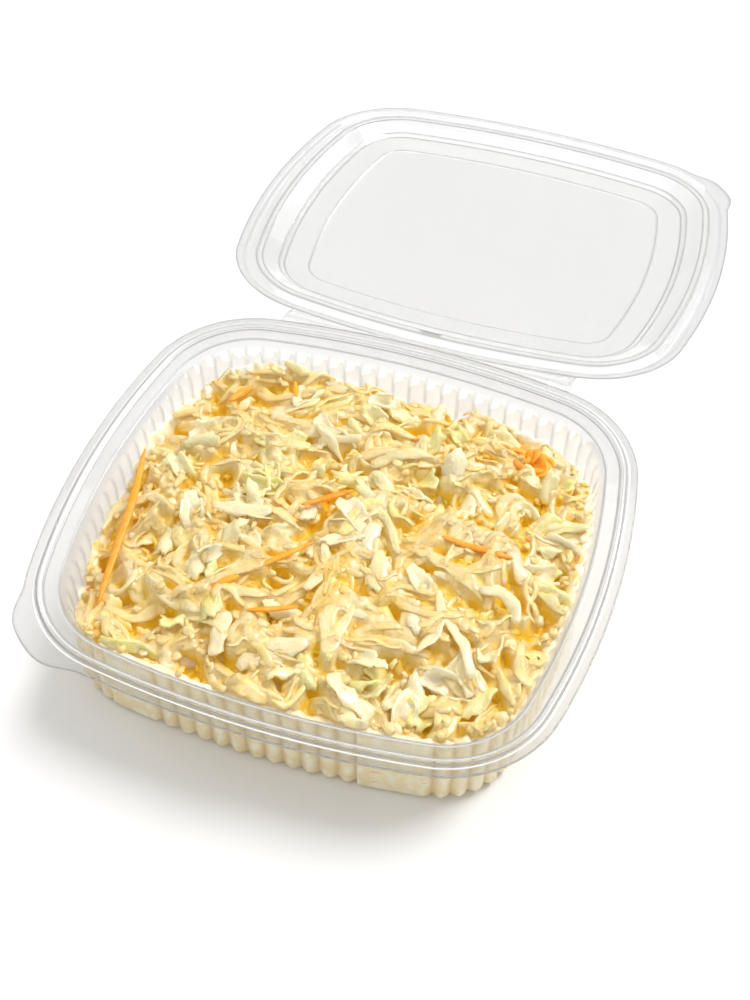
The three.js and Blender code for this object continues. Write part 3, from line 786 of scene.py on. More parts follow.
def bitsPiece(name, make, rng):
    # a nub is a lumpy cushion: centre + axes * signed powers of (sin p cos q, sin p sin q, cos p)
    spots = np.array([lowestSpot(rng, make["tries"]) for _ in range(make["count"])])
    angles = outlineAngles(rng.random(make["byWall"]))
    byWall = np.stack(outlinePoints(angles, rng.uniform(*make["wallInset"], len(angles))), 1)
    spots = np.concatenate([spots, byWall])
    count = len(spots)
    size = rng.uniform(*make["size"], (count, 1)) * rng.uniform(make["smallest"], make["largest"], (count, 3))
    z = sampled(heapTop, spots[:, 0], spots[:, 1]) + size[:, 2] * make["sunk"]
    z = np.minimum(z, heapTarget(spots[:, 0], spots[:, 1]) + make["proud"])
    centre = np.column_stack([spots, z])
    p = np.linspace(0, math.pi, make["rings"] + 2)[1:-1][:, None]
    q = np.linspace(0, 2 * math.pi, make["sides"], endpoint=False)[None, :]
    ball = np.stack([np.sin(p) * np.cos(q), np.sin(p) * np.sin(q), np.cos(p) + 0 * q], axis=-1)
    ball = np.sign(ball) * np.abs(ball) ** make["square"]
    noise = 1 + make["lumps"] * rng.normal(0, 1, (count,) + ball.shape[:2] + (1,))
    local = ball[None] * noise * size[:, None, None] * 0.5
    spin = rng.uniform(0, 2 * math.pi, count)[:, None, None]
    lean = rng.normal(0, make["lean"], count)[:, None, None]
    x, y, z = local[..., 0], local[..., 1], local[..., 2]
    y, z = turned(y, z, lean)
    x, y = turned(x, y, spin)
    points = pressInside(np.stack([x, y, z], axis=-1) + centre[:, None, None], 0.0)
    rings, sides = make["rings"], make["sides"]
    poles = pressInside(centre[:, None] + np.array([[0, 0, 1], [0, 0, -1]]) * size[:, None, 2:3] * 0.45, 0.2)
    perBit = rings * sides + 2
    allPoints = np.concatenate([points.reshape(count, -1, 3), poles], axis=1).reshape(-1, 3)
    base = (np.arange(count) * perBit)[:, None, None]
    quads = gridFaces(rings, sides, closed=True)[None, :, ::-1] + base
    first = np.arange(sides)
    top = np.stack([first, np.roll(first, -1), np.full(sides, rings * sides)], axis=-1)[None, :, :] + base
    last = first + (rings - 1) * sides
    low = np.stack([np.roll(last, -1), last, np.full(sides, rings * sides + 1)], axis=-1)[None] + base
    raiseHeap(points[:, : rings // 2 + 1], heap["bareTone"])
    tone = np.repeat(rng.random(count), perBit)
    return meshPiece(name, allPoints, [quads.reshape(-1, 4), top.reshape(-1, 3), low.reshape(-1, 3)],
                     {"grain": allPoints * 1.0, "tone": tone})


leafCurls = {
    "count": 130,
    "length": (8, 18),
    "width": (5, 10),
    "thickness": 0.9,
    "across": 9,
    "along": 10,
    "curl": 1.3,  # radians from the middle to an edge
    "curls": (0.5, 1.3),  # drawn as shares of that
    "tilt": 0.3,
    "lean": 0.35,
    "ruffle": 1.2,
    "lift": 0.6,
    "proud": 2.4,
    "tries": 5,
    "reach": 0.9,
    "measuredRound": 3,  # the measured leaves go in with this round, in this tone
    "measuredTone": 0.12,
}

measuredLeaves = [  # x, y, turn, length, width, curl, tilt, lean, height above what lies below
    (-16, 38, 1.1, 24, 15, 2.1, 0.35, 0.25, 1.6),
    (30, 33, 0.3, 19, 15, -1.5, 0.5, -0.1, 1.4),
    (22, 26, 1.4, 15, 10, 1.4, 0.3, 0.3, 1.2),
    (-34, 62, 2.9, 20, 11, 1.6, 0.5, 0.1, 1.5),
    (-6, 63, 1.9, 13, 9, 1.8, 0.6, -0.2, 2.2),
    (-49, -12, 0.4, 15, 10, 1.3, 0.25, 0.1, 1.0),
    (-60, 30, 2.2, 17, 12, 1.4, 0.3, -0.3, 1.3),
    (12, -7, 0.1, 15, 12, -1.9, 0.1, 0.1, 1.2),
    (4, 2, 1.0, 17, 11, 1.5, 0.35, 0.2, 1.2),
    (70, 17, 1.3, 22, 13, 1.2, 0.1, -0.45, 1.0),
    (67, 2, 2.0, 15, 11, 1.5, 0.2, -0.2, 1.0),
    (43, -62, 0.2, 14, 10, 1.3, 0.35, 0.1, 1.0),
    (33, -17, 0.8, 13, 9, 1.5, 0.3, 0.1, 1.0),
    (-52, 54, 2.4, 14, 10, 1.5, 0.45, 0.2, 1.6),
    (20, 60, 2.8, 13, 9, 1.4, 0.5, 0.0, 1.4),
]


def leafPiece(name, leaves, make):
    # middle(u, v) is bent round an axis along v, x = sin(a bend) / bend and z = (1 - cos(a bend)) / bend,
    # with waves in z that grow to the edges; the two faces lie half the thickness to each side of it
    across, along = make["across"], make["along"]
    u = np.linspace(-1, 1, across)[None, :, None]
    v = np.linspace(-1, 1, along)[None, None, :]
    get = lambda key: np.array([leaf[key] for leaf in leaves])[:, None, None]
    around = np.arctan2(v, u)
    lobes = 0.15 * np.sin(4 * around + get("phase") * 9)  # broad and narrow lobes round the leaf's edge
    ragged = 1 + lobes + 0.09 * np.sin(9 * around - get("phase") * 5)
    ragged = ragged * (1 - 0.28 * (u * v) ** 2)  # and rounded corners
    a = u * get("width") / 2 * ragged
    b = v * get("length") / 2 * ragged
    bend = get("curl") / (get("width") / 2)
    x = np.sin(a * bend) / bend
    z = (1 - np.cos(a * bend)) / bend
    edge = (u ** 2 + v ** 2) / 2
    z = z + make["ruffle"] * edge * np.sin(b * 0.95 + get("phase") * 7 + a * 0.6)
    z = z + 0.5 * np.sin(a * 0.9 + b * 0.55 + get("phase") * 5)
    y = b + 0 * a
    y, z = turned(y, z, get("tilt"))
    z, x = turned(z, x, get("lean"))
    x, y = turned(x, y, get("turn"))
    middle = np.stack([x + get("x"), y + get("y"), z + get("z")], axis=-1)
    normal = unit(np.cross(np.gradient(middle, axis=2), np.gradient(middle, axis=1)))
    half = make["thickness"] / 2
    faces = pressInside(np.stack([middle - normal * half, middle + normal * half], axis=1), 0.0)
    count = len(leaves)
    index = np.arange(count * 2 * across * along).reshape(count, 2, across, along)
    low, high = index[:, 0], index[:, 1]
    quad = lambda *corners: np.stack(corners, axis=-1).reshape(-1, 4)
    sheet = lambda k: quad(k[:, :-1, :-1], k[:, 1:, :-1], k[:, 1:, 1:], k[:, :-1, 1:])
    rim = lambda l, h: quad(l[:, :-1], l[:, 1:], h[:, 1:], h[:, :-1])
    quads = np.concatenate([
        sheet(low), sheet(high)[:, ::-1],
        rim(low[:, :, 0], high[:, :, 0])[:, ::-1], rim(low[:, :, -1], high[:, :, -1]),
        rim(low[:, 0], high[:, 0]), rim(low[:, -1], high[:, -1])[:, ::-1],
    ])
    zero = np.zeros((count, 2, across, along))
    tone = get("tone")[:, None] + zero
    grain = np.stack([a[:, None] + zero, b[:, None] + zero, get("phase")[:, None] * 40 + zero], axis=-1)
    return meshPiece(name, faces.reshape(-1, 3), [quads],
                     {"grain": grain.reshape(-1, 3), "tone": tone.ravel()})


leafBed = {"feel": 3, "hang": 0.22, "points": 90, "rings": (0.03, 0.36, 9), "sunk": 0.3,
           "shade": 0.75, "shadeBy": 0.25}


def layLeaf(rng, make, x, y, lift=leafCurls["lift"], **fixed):
    # a leaf rests on the mean of the ground round it, lowered by what its curl hangs down
    leaf = {
        "x": x, "y": y,
        "turn": rng.uniform(0, 2 * math.pi),
        "length": rng.uniform(*make["length"]),
        "width": rng.uniform(*make["width"]),
        "curl": rng.choice([-1, 1]) * rng.uniform(*make["curls"]) * make["curl"],
        "tilt": rng.normal(0, make["tilt"]),
        "lean": rng.normal(0, make["lean"]),
        "phase": rng.random(),
        "tone": rng.random(),
    }
    leaf.update(fixed)
    feel = leafBed["feel"] * np.array([[0, 1, -1, 0, 0.0], [0, 0, 0, 1, -1.0]])
    around = sampled(heapTop, x + feel[0], y + feel[1])
    dip = leafBed["hang"] * leaf["curl"] * leaf["width"] if leaf["curl"] < 0 else 0
    leaf["z"] = min(around.mean() + lift - dip, heapTarget(x, y) + make["proud"])
    t = np.linspace(0, 6.28, leafBed["points"])[:, None]
    reach = np.linspace(*leafBed["rings"]) * leaf["width"]
    bed = leaf["z"] - leafBed["sunk"] - 0 * t * reach
    covered = np.stack([x + np.cos(t) * reach, y + np.sin(t) * reach, bed], axis=-1)
    raiseHeap(covered, leafBed["shade"] + leafBed["shadeBy"] * leaf["tone"])
    return leaf


laying = {
    "seed": 5,
    "rounds": 6,
    "fineAllowance": 1.2,  # fine shreds may stand this much higher than the rest
    "measuredCarrot": {"roll": 0.2, "twist": 0.3},
    "measuredPale": {"twist": 0.5, "tone": 0.1},
}
stripKinds = {  # in the order in which a round lays them
    "ivoryRibbons": ivoryRibbons,
    "ribShreds": ribShreds,
    "carrotShreds": carrotShreds,
    "paleRibbons": paleRibbons,
    "fineShreds": fineShreds,
}


def layRound(rng, laid, step):
    # a growing share of each kind, (step + 1) / rounds of its count, wherever the heap isn't full yet
    for name, make in stripKinds.items():
        wanted = make["count"] * (step + 1) // laying["rounds"]
        full = heap["full"] - (laying["fineAllowance"] if name == "fineShreds" else 0)
        for _ in range(wanted):
            x, y = lowestSpot(rng, make["tries"])
            if len(laid[name]) < wanted and heapTarget(x, y) - sampled(heapTop, x, y) > full:
                laid[name].extend(layBundle(rng, x, y, make))
    if step == leafCurls["measuredRound"]:
        for x, y, turn, length, width, curl, tilt, lean, lift in measuredLeaves:
            laid["leafCurls"].append(layLeaf(
                rng, leafCurls, x, y, lift, turn=turn, length=length, width=width,
                curl=curl, tilt=tilt, lean=lean, tone=leafCurls["measuredTone"],
            ))
    for _ in range(leafCurls["count"] * (step + 1) // sum(range(laying["rounds"] + 1))):
        spot = lowestSpot(rng, leafCurls["tries"], leafCurls["reach"])
        laid["leafCurls"].append(layLeaf(rng, leafCurls, *spot))


def layMeasured(rng, laid):
    # the shreds that show most, along their own lines
    for path, width in carrotPaths:
        laid["carrotShreds"].append(pathStrip(
            rng, path, carrotShreds, width=width, **laying["measuredCarrot"]))
    for _ in range(carrotCurls["count"]):
        path = curlPath(rng, carrotCurls, carrotShreds["steps"])
        laid["carrotShreds"].append(pathStrip(
            rng, path, carrotShreds, width=carrotCurls["width"], thickness=carrotCurls["thickness"]))
    for path, width, roll in paleStrips:
        laid["paleRibbons"].append(pathStrip(
            rng, path, paleRibbons, width=width, roll=roll, **laying["measuredPale"]))


def layHeap():
    # kinds are laid in turn, in rounds, so that each shows through the others;
    # the heap's heights before the last round are kept, as the coat covers all rounds but that one
    rng = np.random.default_rng(laying["seed"])
    laid = {name: [] for name in (*stripKinds, "leafCurls")}
    for step in range(laying["rounds"]):
        if step == laying["rounds"] - 1:
            sunkTop = heapTop.copy()
        layRound(rng, laid, step)
    layMeasured(rng, laid)
    order = ("ribShreds", "ivoryRibbons", "paleRibbons", "fineShreds", "carrotShreds")
    pieces = {name: stripPiece(name, laid[name], stripKinds[name]) for name in order}
    pieces["leafCurls"] = leafPiece("leafCurls", laid["leafCurls"], leafCurls)
    pieces["choppedBits"] = bitsPiece("choppedBits", choppedBits, rng)
    return pieces, sunkTop


coreShape = {
    "rings": 26,
    "wallRings": 7,
    "smear": 0.8,
    "rimInset": 15.0,
    "rimDrop": 0.6,
    "rimTop": 35.0,
    "footZ": 2.6,
    "foot": [  # inset, height and flute depth, from the bottom out to the wall's foot
        (24, 0.3, 0), (17.5, 0.3, 1.5), (15.9, 0.45, 1.8), (14.7, 1.3, 1.95), (14.12, 2.6, 2.0),
    ],
    "wallInset": ([2.6, 20, 31.4, 34.2, 35.6], [14.12, 14.02, 13.62, 13.22, 12.92]),
    "wallDepth": ([2.6, 31.4, 34.2, 35.4], [2.0, 1.35, 0.9, 0]),
    "closeRings": 11,  # close to the wall these stand 0.008 of the radius apart
    "closeStep": 0.008,
    "under": 2.5,  # the top lies this far below the coat
    "top": 40,
    "grainRun": 520,  # the pattern's length round the wall, and a place of its own for it
    "grainPlace": 400.0,
    "depth": 1.4,  # depth that the wall's painted shade is worked out from, and more in the creases
    "creaseShadeDepth": 2.6,
}

coatShape = {
    "columns": 300,
    "rows": 280,
    "inset": 15.0,
    "fillet": 0.7,
    "sunk": 0.1,
    "proud": 0.4,
    "lumps": 0.3,
    "lumpSize": 1.1,
    "lumpSeed": 8,
    "grains": 0.1,
    "grainSize": 0.55,
    "grainSeed": 9,
    "edgeDrop": 0.8,
    "skirt": 3,
    "underside": 15,
    "toneBlur": 0.4,
}


def rimHeights(angles):
    # the salad's height along the wall, smeared up and down by a sum of four waves
    rimX, rimY = outlinePoints(angles, coreShape["rimInset"])
    smear = np.sin(angles * 17) + 0.8 * np.sin(angles * 31 + 1)
    smear = smear + 0.6 * np.sin(angles * 53 + 2) + np.sin(angles * 7)
    level = np.interp(np.arctan2(rimY, rimX), polarAngles, edgeLevel)
    return np.minimum(level + coreShape["smear"] * smear - coreShape["rimDrop"], coreShape["rimTop"])


def coatHeights(sunkTop):
    # the laid pieces' heights, filleted, with lumps; the pieces laid last stand proud of it
    top = blurred(np.maximum(sunkTop, heapTop - coatShape["proud"]), coatShape["fillet"]) - coatShape["sunk"]
    lumps = coatShape["lumps"] * lumpField(coatShape["lumpSeed"], coatShape["lumpSize"])
    return top + lumps + coatShape["grains"] * lumpField(coatShape["grainSeed"], coatShape["grainSize"])


def makeCoat(top):
    # point(u, v) = direction(u, v) * max(|u|, |v|) * wall radius, at the coat's height there;
    # its edge and underside are sunk in the core
    columns, rows = (np.linspace(-1, 1, coatShape[key]) for key in ("columns", "rows"))
    u, v = np.meshgrid(columns, rows, indexing="ij")
    direction = np.arctan2(v * heap["halfDepth"], u * heap["halfWidth"])
    out = np.maximum(np.abs(u), np.abs(v))
    radius = out * wallRadius(np.cos(direction), np.sin(direction), coatShape["inset"])
    x, y = radius * np.cos(direction), radius * np.sin(direction)
    near = smoothStep((out - 0.985) / 0.015)
    z = sampled(top, x, y) - coatShape["edgeDrop"] * near
    points = pressInside(np.stack([x, y, z], axis=-1).reshape(-1, 3), 0.3)
    index = np.arange(len(points)).reshape(x.shape)
    loop = np.concatenate([index[:-1, 0], index[-1, :-1], index[:0:-1, -1], index[0, :0:-1]])
    skirt = points[loop] - (0, 0, coatShape["skirt"])
    low = np.arange(len(loop)) + len(points)
    side = np.stack([loop, low, np.roll(low, -1), np.roll(loop, -1)], axis=-1)
    under = np.stack([np.roll(low, -1), low, np.full_like(low, len(points) + len(low))], axis=-1)
    cover = np.stack([index[:-1, :-1], index[1:, :-1], index[1:, 1:], index[:-1, 1:]], axis=-1)
    allPoints = np.concatenate([points, skirt, [[0, 0, coatShape["underside"]]]])
    laidTone = sampled(blurred(heapTone, coatShape["toneBlur"]), x, y).ravel()
    tone = np.concatenate([laidTone, np.full(len(loop) + 1, heap["bareTone"])])
    return meshPiece("dressingCoat", allPoints, [cover.reshape(-1, 4), side, under],
                     {"grain": allPoints * 1.0, "tone": tone})


def makeCore(top):
    # a wall that follows the tray's own line, flutes and all, under a plain top hidden by the coat:
    # ring(share) = outline(inset(z) + depth(z) * wave), z = foot + (rim - foot) * share
    columns = tub["fluteCount"] * trayShell["columnsPerFlute"]
    shares = np.arange(columns) / columns
    angles = outlineAngles(shares)
    wave = fluteWave(shares, angles)
    rimZ = rimHeights(angles)
    rings = []
    for inset, z, depth in coreShape["foot"]:
        x, y = outlinePoints(angles, inset + depth * wave)
        rings.append(np.stack([x, y, np.full_like(x, z)], axis=-1))
    for share in np.linspace(0, 1, coreShape["wallRings"] + 1)[1:]:
        z = coreShape["footZ"] + (rimZ - coreShape["footZ"]) * share
        inset = np.interp(z, *coreShape["wallInset"])
        depth = np.interp(z, *coreShape["wallDepth"])
        x, y = outlinePoints(angles, inset + depth * wave)
        rings.append(np.stack([x, y, z], axis=-1))
    wallCount = len(rings)
    edge = rings[-1]
    close = 1 - coreShape["closeStep"] * np.arange(1, coreShape["closeRings"] + 1)
    for share in np.append(close, np.linspace(0.85, 0.02, coreShape["rings"] - coreShape["closeRings"])):
        x, y = edge[:, 0] * share, edge[:, 1] * share
        near = smoothStep((share - 0.94) / 0.06)
        sunk = coreShape["under"] * smoothStep((0.97 - share) / 0.04)
        inside = np.minimum(sampled(top, x, y), coreShape["top"]) - sunk
        rings.append(np.stack([x, y, inside * (1 - near) + (edge[:, 2] - 0.1) * near], axis=-1))
    points = np.concatenate([np.concatenate(rings), [[0, 0, 0.3]], [[0, 0, rings[-1][:, 2].mean()]]])
    quads = gridFaces(len(rings), columns, closed=True)
    first = np.arange(columns)
    last = first + (len(rings) - 1) * columns
    bottom = np.stack([np.roll(first, -1), first, np.full_like(first, len(points) - 2)], axis=-1)
    crown = np.stack([last, np.roll(last, -1), np.full_like(last, len(points) - 1)], axis=-1)
    onWall = np.arange(len(points)) < wallCount * columns
    run = np.tile(shares * coreShape["grainRun"], len(rings))
    grain = points * 1.0
    around = onWall[: len(run)]
    grain[: len(run), 0] = np.where(around, run, grain[: len(run), 0])
    grain[: len(run), 1] = np.where(around, coreShape["grainPlace"], grain[: len(run), 1])
    core = meshPiece("slawCore", points, [quads, bottom, crown],
                     {"grain": grain, "tone": np.full(len(points), 0.5), "wall": onWall * 1.0})
    # painted shade in the wall's creases, given as extra depth
    creases = np.append(np.tile(wave, len(rings)), [0, 0])
    return core, onWall, coreShape["depth"] + coreShape["creaseShadeDepth"] * creases


def stampDepth(piece, field, onWall=None, wallDepth=None):
    # each point's depth below the heap's smoothed top, in millimetres; on the core's wall, the given depth
    # that sets its painted shade
    mesh = piece.data
    places = np.empty(len(mesh.vertices) * 3, np.float32)
    mesh.vertices.foreach_get("co", places)
    points = places.reshape(-1, 3) / mm
    depth = sampled(field, points[:, 0], points[:, 1]) - points[:, 2]
    if onWall is not None:
        depth = np.where(onWall, wallDepth, depth)
    layer = mesh.attributes.new("depth", "FLOAT", "POINT")
    layer.data.foreach_set("value", depth.astype(np.float32))


def newMaterial(name):
    # an empty node tree with its output
    material = bpy.data.materials.new(name)
    material.use_nodes = True
    tree = material.node_tree
    tree.nodes.clear()
    output = tree.nodes.new("ShaderNodeOutputMaterial")
    output.location = (900, 0)
    return material, tree, output


def addNode(tree, kind, place, **settings):
    # settings named in_X set the socket X; the others set the node
    node = tree.nodes.new(kind)
    node.location = place
    for key, value in settings.items():
        if key.startswith("in_"):
            node.inputs[key[3:].replace("_", " ")].default_value = value
        else:
            setattr(node, key, value)
    return node


def mixColours(tree, place, factor, first, second):
    # colour = first * (1 - factor) + second * factor; each may be a value or a socket
    node = addNode(tree, "ShaderNodeMix", place, data_type="RGBA")
    for socket, value in ((node.inputs[0], factor), (node.inputs[6], first), (node.inputs[7], second)):
        if hasattr(value, "links"):
            tree.links.new(value, socket)
        else:
            socket.default_value = value
    return node.outputs[2]


def mapped(tree, place, value, low, high, top=1.0):
    # 0 at low, top at high, eased between
    node = addNode(tree, "ShaderNodeMapRange", place, interpolation_type="SMOOTHSTEP")
    node.inputs["From Min"].default_value = low
    node.inputs["From Max"].default_value = high
    if hasattr(top, "links"):
        tree.links.new(top, node.inputs["To Max"])
    else:
        node.inputs["To Max"].default_value = top
    tree.links.new(value, node.inputs["Value"])
    return node.outputs["Result"]


clearLook = {
    "tint": (0.994, 0.993, 0.993, 1),
    "paintedGrey": (0.86, 0.86, 0.86, 1),  # painted shade: the grey tint that the shade attribute gives the sheet
    "shadow": (0.978, 0.978, 0.975, 1),
    "ior": 1.5,
    "roughness": 0.02,
    "straight": 0.55,  # share of light that passes unbent
    "bent": (0.47, 0.465, 0.46, 1),  # colour of the painted shade lines, which keep real highlights
    # colour of the painted highlight lines
    "glint": (0.95, 0.95, 0.95, 1),
    "bentRoughness": 0.25,
    "tintTo": 0.3,  # painted shade up to here tints the sheet grey
    "lineFrom": 0.35,  # painted shade between these two turns it into a painted dark line
    "lineTo": 0.95,
    "glintFrom": 0.15,
    "glintTo": 0.8,
}


def sheetGroup():
    # tint = from clear to the painted grey by a low painted shade; line = the larger of a high painted shade
    # and the painted glint;
    # line colour = from the painted shade lines' colour to the painted highlight by the glint
    group = bpy.data.node_groups.new("sheetTones", "ShaderNodeTree")
    sockets = (("Shade", "INPUT", "Float"), ("Glint", "INPUT", "Float"), ("Tint", "OUTPUT", "Color"),
               ("Line", "OUTPUT", "Float"), ("Line Colour", "OUTPUT", "Color"))
    for label, way, kind in sockets:
        group.interface.new_socket(label, in_out=way, socket_type="NodeSocket" + kind)
    inputs = addNode(group, "NodeGroupInput", (-600, 0)).outputs
    outputs = addNode(group, "NodeGroupOutput", (600, 0)).inputs
    paintedGrey = mapped(group, (-300, 300), inputs["Shade"], 0.0, clearLook["tintTo"])
    tint = mixColours(group, (0, 300), paintedGrey, clearLook["tint"], clearLook["paintedGrey"])
    bright = mapped(group, (-300, 0), inputs["Glint"], clearLook["glintFrom"], clearLook["glintTo"])
    colour = mixColours(group, (0, 0), bright, clearLook["bent"], clearLook["glint"])
    line = addNode(group, "ShaderNodeMath", (0, -300), operation="MAXIMUM")
    shaded = mapped(group, (-300, -300), inputs["Shade"], clearLook["lineFrom"], clearLook["lineTo"])
    group.links.new(shaded, line.inputs[0])
    group.links.new(bright, line.inputs[1])
    group.links.new(tint, outputs["Tint"])
    group.links.new(line.outputs[0], outputs["Line"])
    group.links.new(colour, outputs["Line Colour"])
    return group


def clearPlastic():
    # bent light, then a share of straight light, then painted shade and highlight lines by the shade and
    # glint attributes, each mixed over the one before; rays of shadow and of diffuse light see only a pale
    # clear sheet
    material, tree, output = newMaterial("clearPlastic")
    tones = addNode(tree, "ShaderNodeGroup", (0, 600), node_tree=sheetGroup())
    for k, (label, socket) in enumerate((("shade", "Shade"), ("glint", "Glint"))):
        read = addNode(tree, "ShaderNodeAttribute", (-200, 700 - 200 * k), attribute_name=label)
        tree.links.new(read.outputs["Fac"], tones.inputs[socket])
    shader = addNode(tree, "ShaderNodeBsdfPrincipled", (300, 100), in_Roughness=clearLook["roughness"],
                     in_IOR=clearLook["ior"], in_Transmission_Weight=1.0)
    straight = addNode(tree, "ShaderNodeBsdfTransparent", (300, -200))
    bent = addNode(tree, "ShaderNodeBsdfPrincipled", (300, 500), in_Roughness=clearLook["bentRoughness"])
    clear = addNode(tree, "ShaderNodeBsdfTransparent", (300, -400), in_Color=clearLook["shadow"])
    tree.links.new(tones.outputs["Tint"], shader.inputs["Base Color"])
    tree.links.new(tones.outputs["Tint"], straight.inputs["Color"])
    tree.links.new(tones.outputs["Line Colour"], bent.inputs["Base Color"])
    path = addNode(tree, "ShaderNodeLightPath", (0, 300))
    either = addNode(tree, "ShaderNodeMath", (200, 300), operation="MAXIMUM")
    tree.links.new(path.outputs["Is Shadow Ray"], either.inputs[0])
    tree.links.new(path.outputs["Is Diffuse Ray"], either.inputs[1])
    surface = shader.outputs[0]
    layers = ((clearLook["straight"], straight), (tones.outputs["Line"], bent), (either.outputs[0], clear))
    for k, (factor, layer) in enumerate(layers):
        mix = addNode(tree, "ShaderNodeMixShader", (500 + 150 * k, 0))
        if hasattr(factor, "links"):
            tree.links.new(factor, mix.inputs[0])
        else:
            mix.inputs[0].default_value = factor
        tree.links.new(surface, mix.inputs[1])
        tree.links.new(layer.outputs[0], mix.inputs[2])
        surface = mix.outputs[0]
    tree.links.new(surface, output.inputs["Surface"])
    return material


fleshSockets = [("Tone", 0.5), ("Grain", None), ("Depth", 0.0), ("Wall", 0.0), ("First", (1, 1, 1, 1)),
                ("Middle", (1, 1, 1, 1)), ("Last", (1, 1, 1, 1)), ("Fibre", (1, 1, 1, 1)), ("Fibre Mix", 0.3),
                ("Film", (1, 1, 1, 1)), ("Film Mix", 0.3), ("Hollow Shade", (1, 1, 1, 1)), ("Hollow Shade Mix", 0.9),
                ("Blotch Scale", 160.0), ("Lump Scale", 900.0)]


fleshPattern = {
    "fibreScale": (1.9, 0.22, 1),  # across a shred, along it, and from one shred to the next
    "fibres": (0.38, 0.66),  # values of each noise between which it sets in
    "film": (0.42, 0.62),
    "deep": (1.2, 4.2),  # painted shade of the hollows, between these millimetres below the heap's top
    "roughness": 0.55,
    "detail": 3.0,
    "pressedScale": (0.13, 1, 0.75),  # thin carrot shreds pressed to the wall
    "pressed": (0.70, 0.74),
    "pressedColour": (0.80, 0.36, 0.10, 1),
    "fibreRelief": 0.22,  # height of the fibres against the lumps
}


def dressedFleshGroup():
    # flesh colour by tone, streaked by fibres, filmed with dressing in blotches, with a painted golden shade
    # where it lies deep;
    # height = fibres * fibreRelief + lumps
    group = bpy.data.node_groups.new("dressedFlesh", "ShaderNodeTree")
    for label, value in fleshSockets:
        kind = "Vector" if value is None else "Color" if isinstance(value, tuple) else "Float"
        group.interface.new_socket(label, in_out="INPUT", socket_type="NodeSocket" + kind)
    group.interface.new_socket("Colour", in_out="OUTPUT", socket_type="NodeSocketColor")
    group.interface.new_socket("Height", in_out="OUTPUT", socket_type="NodeSocketFloat")
    inputs = addNode(group, "NodeGroupInput", (-1100, 0)).outputs
    outputs = addNode(group, "NodeGroupOutput", (900, 0)).inputs
    early = mapped(group, (-1000, 500), inputs["Tone"], 0, 0.5)
    late = mapped(group, (-800, 600), inputs["Tone"], 0.5, 1)
    flesh = mixColours(group, (-800, 400), early, inputs["First"], inputs["Middle"])
    flesh = mixColours(group, (-600, 400), late, flesh, inputs["Last"])
    stretch = addNode(group, "ShaderNodeMapping", (-900, 0))
    stretch.inputs["Scale"].default_value = fleshPattern["fibreScale"]
    group.links.new(inputs["Grain"], stretch.inputs["Vector"])
    fibres = addNode(group, "ShaderNodeTexNoise", (-700, 0), in_Scale=1.0, in_Detail=2.0)
    group.links.new(stretch.outputs["Vector"], fibres.inputs["Vector"])
    streaks = mapped(group, (-500, 0), fibres.outputs["Fac"], *fleshPattern["fibres"], inputs["Fibre Mix"])
    flesh = mixColours(group, (-300, 300), streaks, flesh, inputs["Fibre"])
    place = addNode(group, "ShaderNodeTexCoord", (-900, -300))
    noises = []
    for k, label in enumerate(("Blotch Scale", "Lump Scale")):
        noise = addNode(group, "ShaderNodeTexNoise", (-700, -300 - 250 * k),
                        in_Detail=fleshPattern["detail"], in_Roughness=fleshPattern["roughness"])
        group.links.new(place.outputs["Object"], noise.inputs["Vector"])
        group.links.new(inputs[label], noise.inputs["Scale"])
        noises.append(noise.outputs["Fac"])
    film = mapped(group, (-300, -200), noises[0], *fleshPattern["film"], inputs["Film Mix"])
    flesh = mixColours(group, (0, 200), film, flesh, inputs["Film"])
    deep = mapped(group, (0, -200), inputs["Depth"], *fleshPattern["deep"], inputs["Hollow Shade Mix"])
    flesh = mixColours(group, (300, 200), deep, flesh, inputs["Hollow Shade"])
    long = addNode(group, "ShaderNodeMapping", (-900, -900))
    long.inputs["Scale"].default_value = fleshPattern["pressedScale"]
    group.links.new(inputs["Grain"], long.inputs["Vector"])
    pressed = addNode(group, "ShaderNodeTexNoise", (-700, -900), in_Scale=1.0, in_Detail=1.0)
    group.links.new(long.outputs["Vector"], pressed.inputs["Vector"])
    carrot = mapped(group, (-300, -900), pressed.outputs["Fac"], *fleshPattern["pressed"], inputs["Wall"])
    flesh = mixColours(group, (600, 200), carrot, flesh, fleshPattern["pressedColour"])
    group.links.new(flesh, outputs["Colour"])
    relief = addNode(group, "ShaderNodeMath", (600, -300), operation="MULTIPLY_ADD")
    relief.inputs[1].default_value = fleshPattern["fibreRelief"]
    group.links.new(fibres.outputs["Fac"], relief.inputs[0])
    group.links.new(noises[1], relief.inputs[2])
    group.links.new(relief.outputs[0], outputs["Height"])
    return group


dressedFlesh = dressedFleshGroup()


wetFlesh = {
    "bumpDistance": 0.0007,
    "coatRoughness": 0.12,
    "lightReach": (0.68, 0.85, 1.0),  # how far red, green and blue travel under the surface, in shares
    "lightScale": 0.0024,  # of this length in metres
    "glowColour": (1.0, 0.6, 0.0, 1),  # stands in for light that passes through neighbouring shreds
    "glow": 0.05,
}


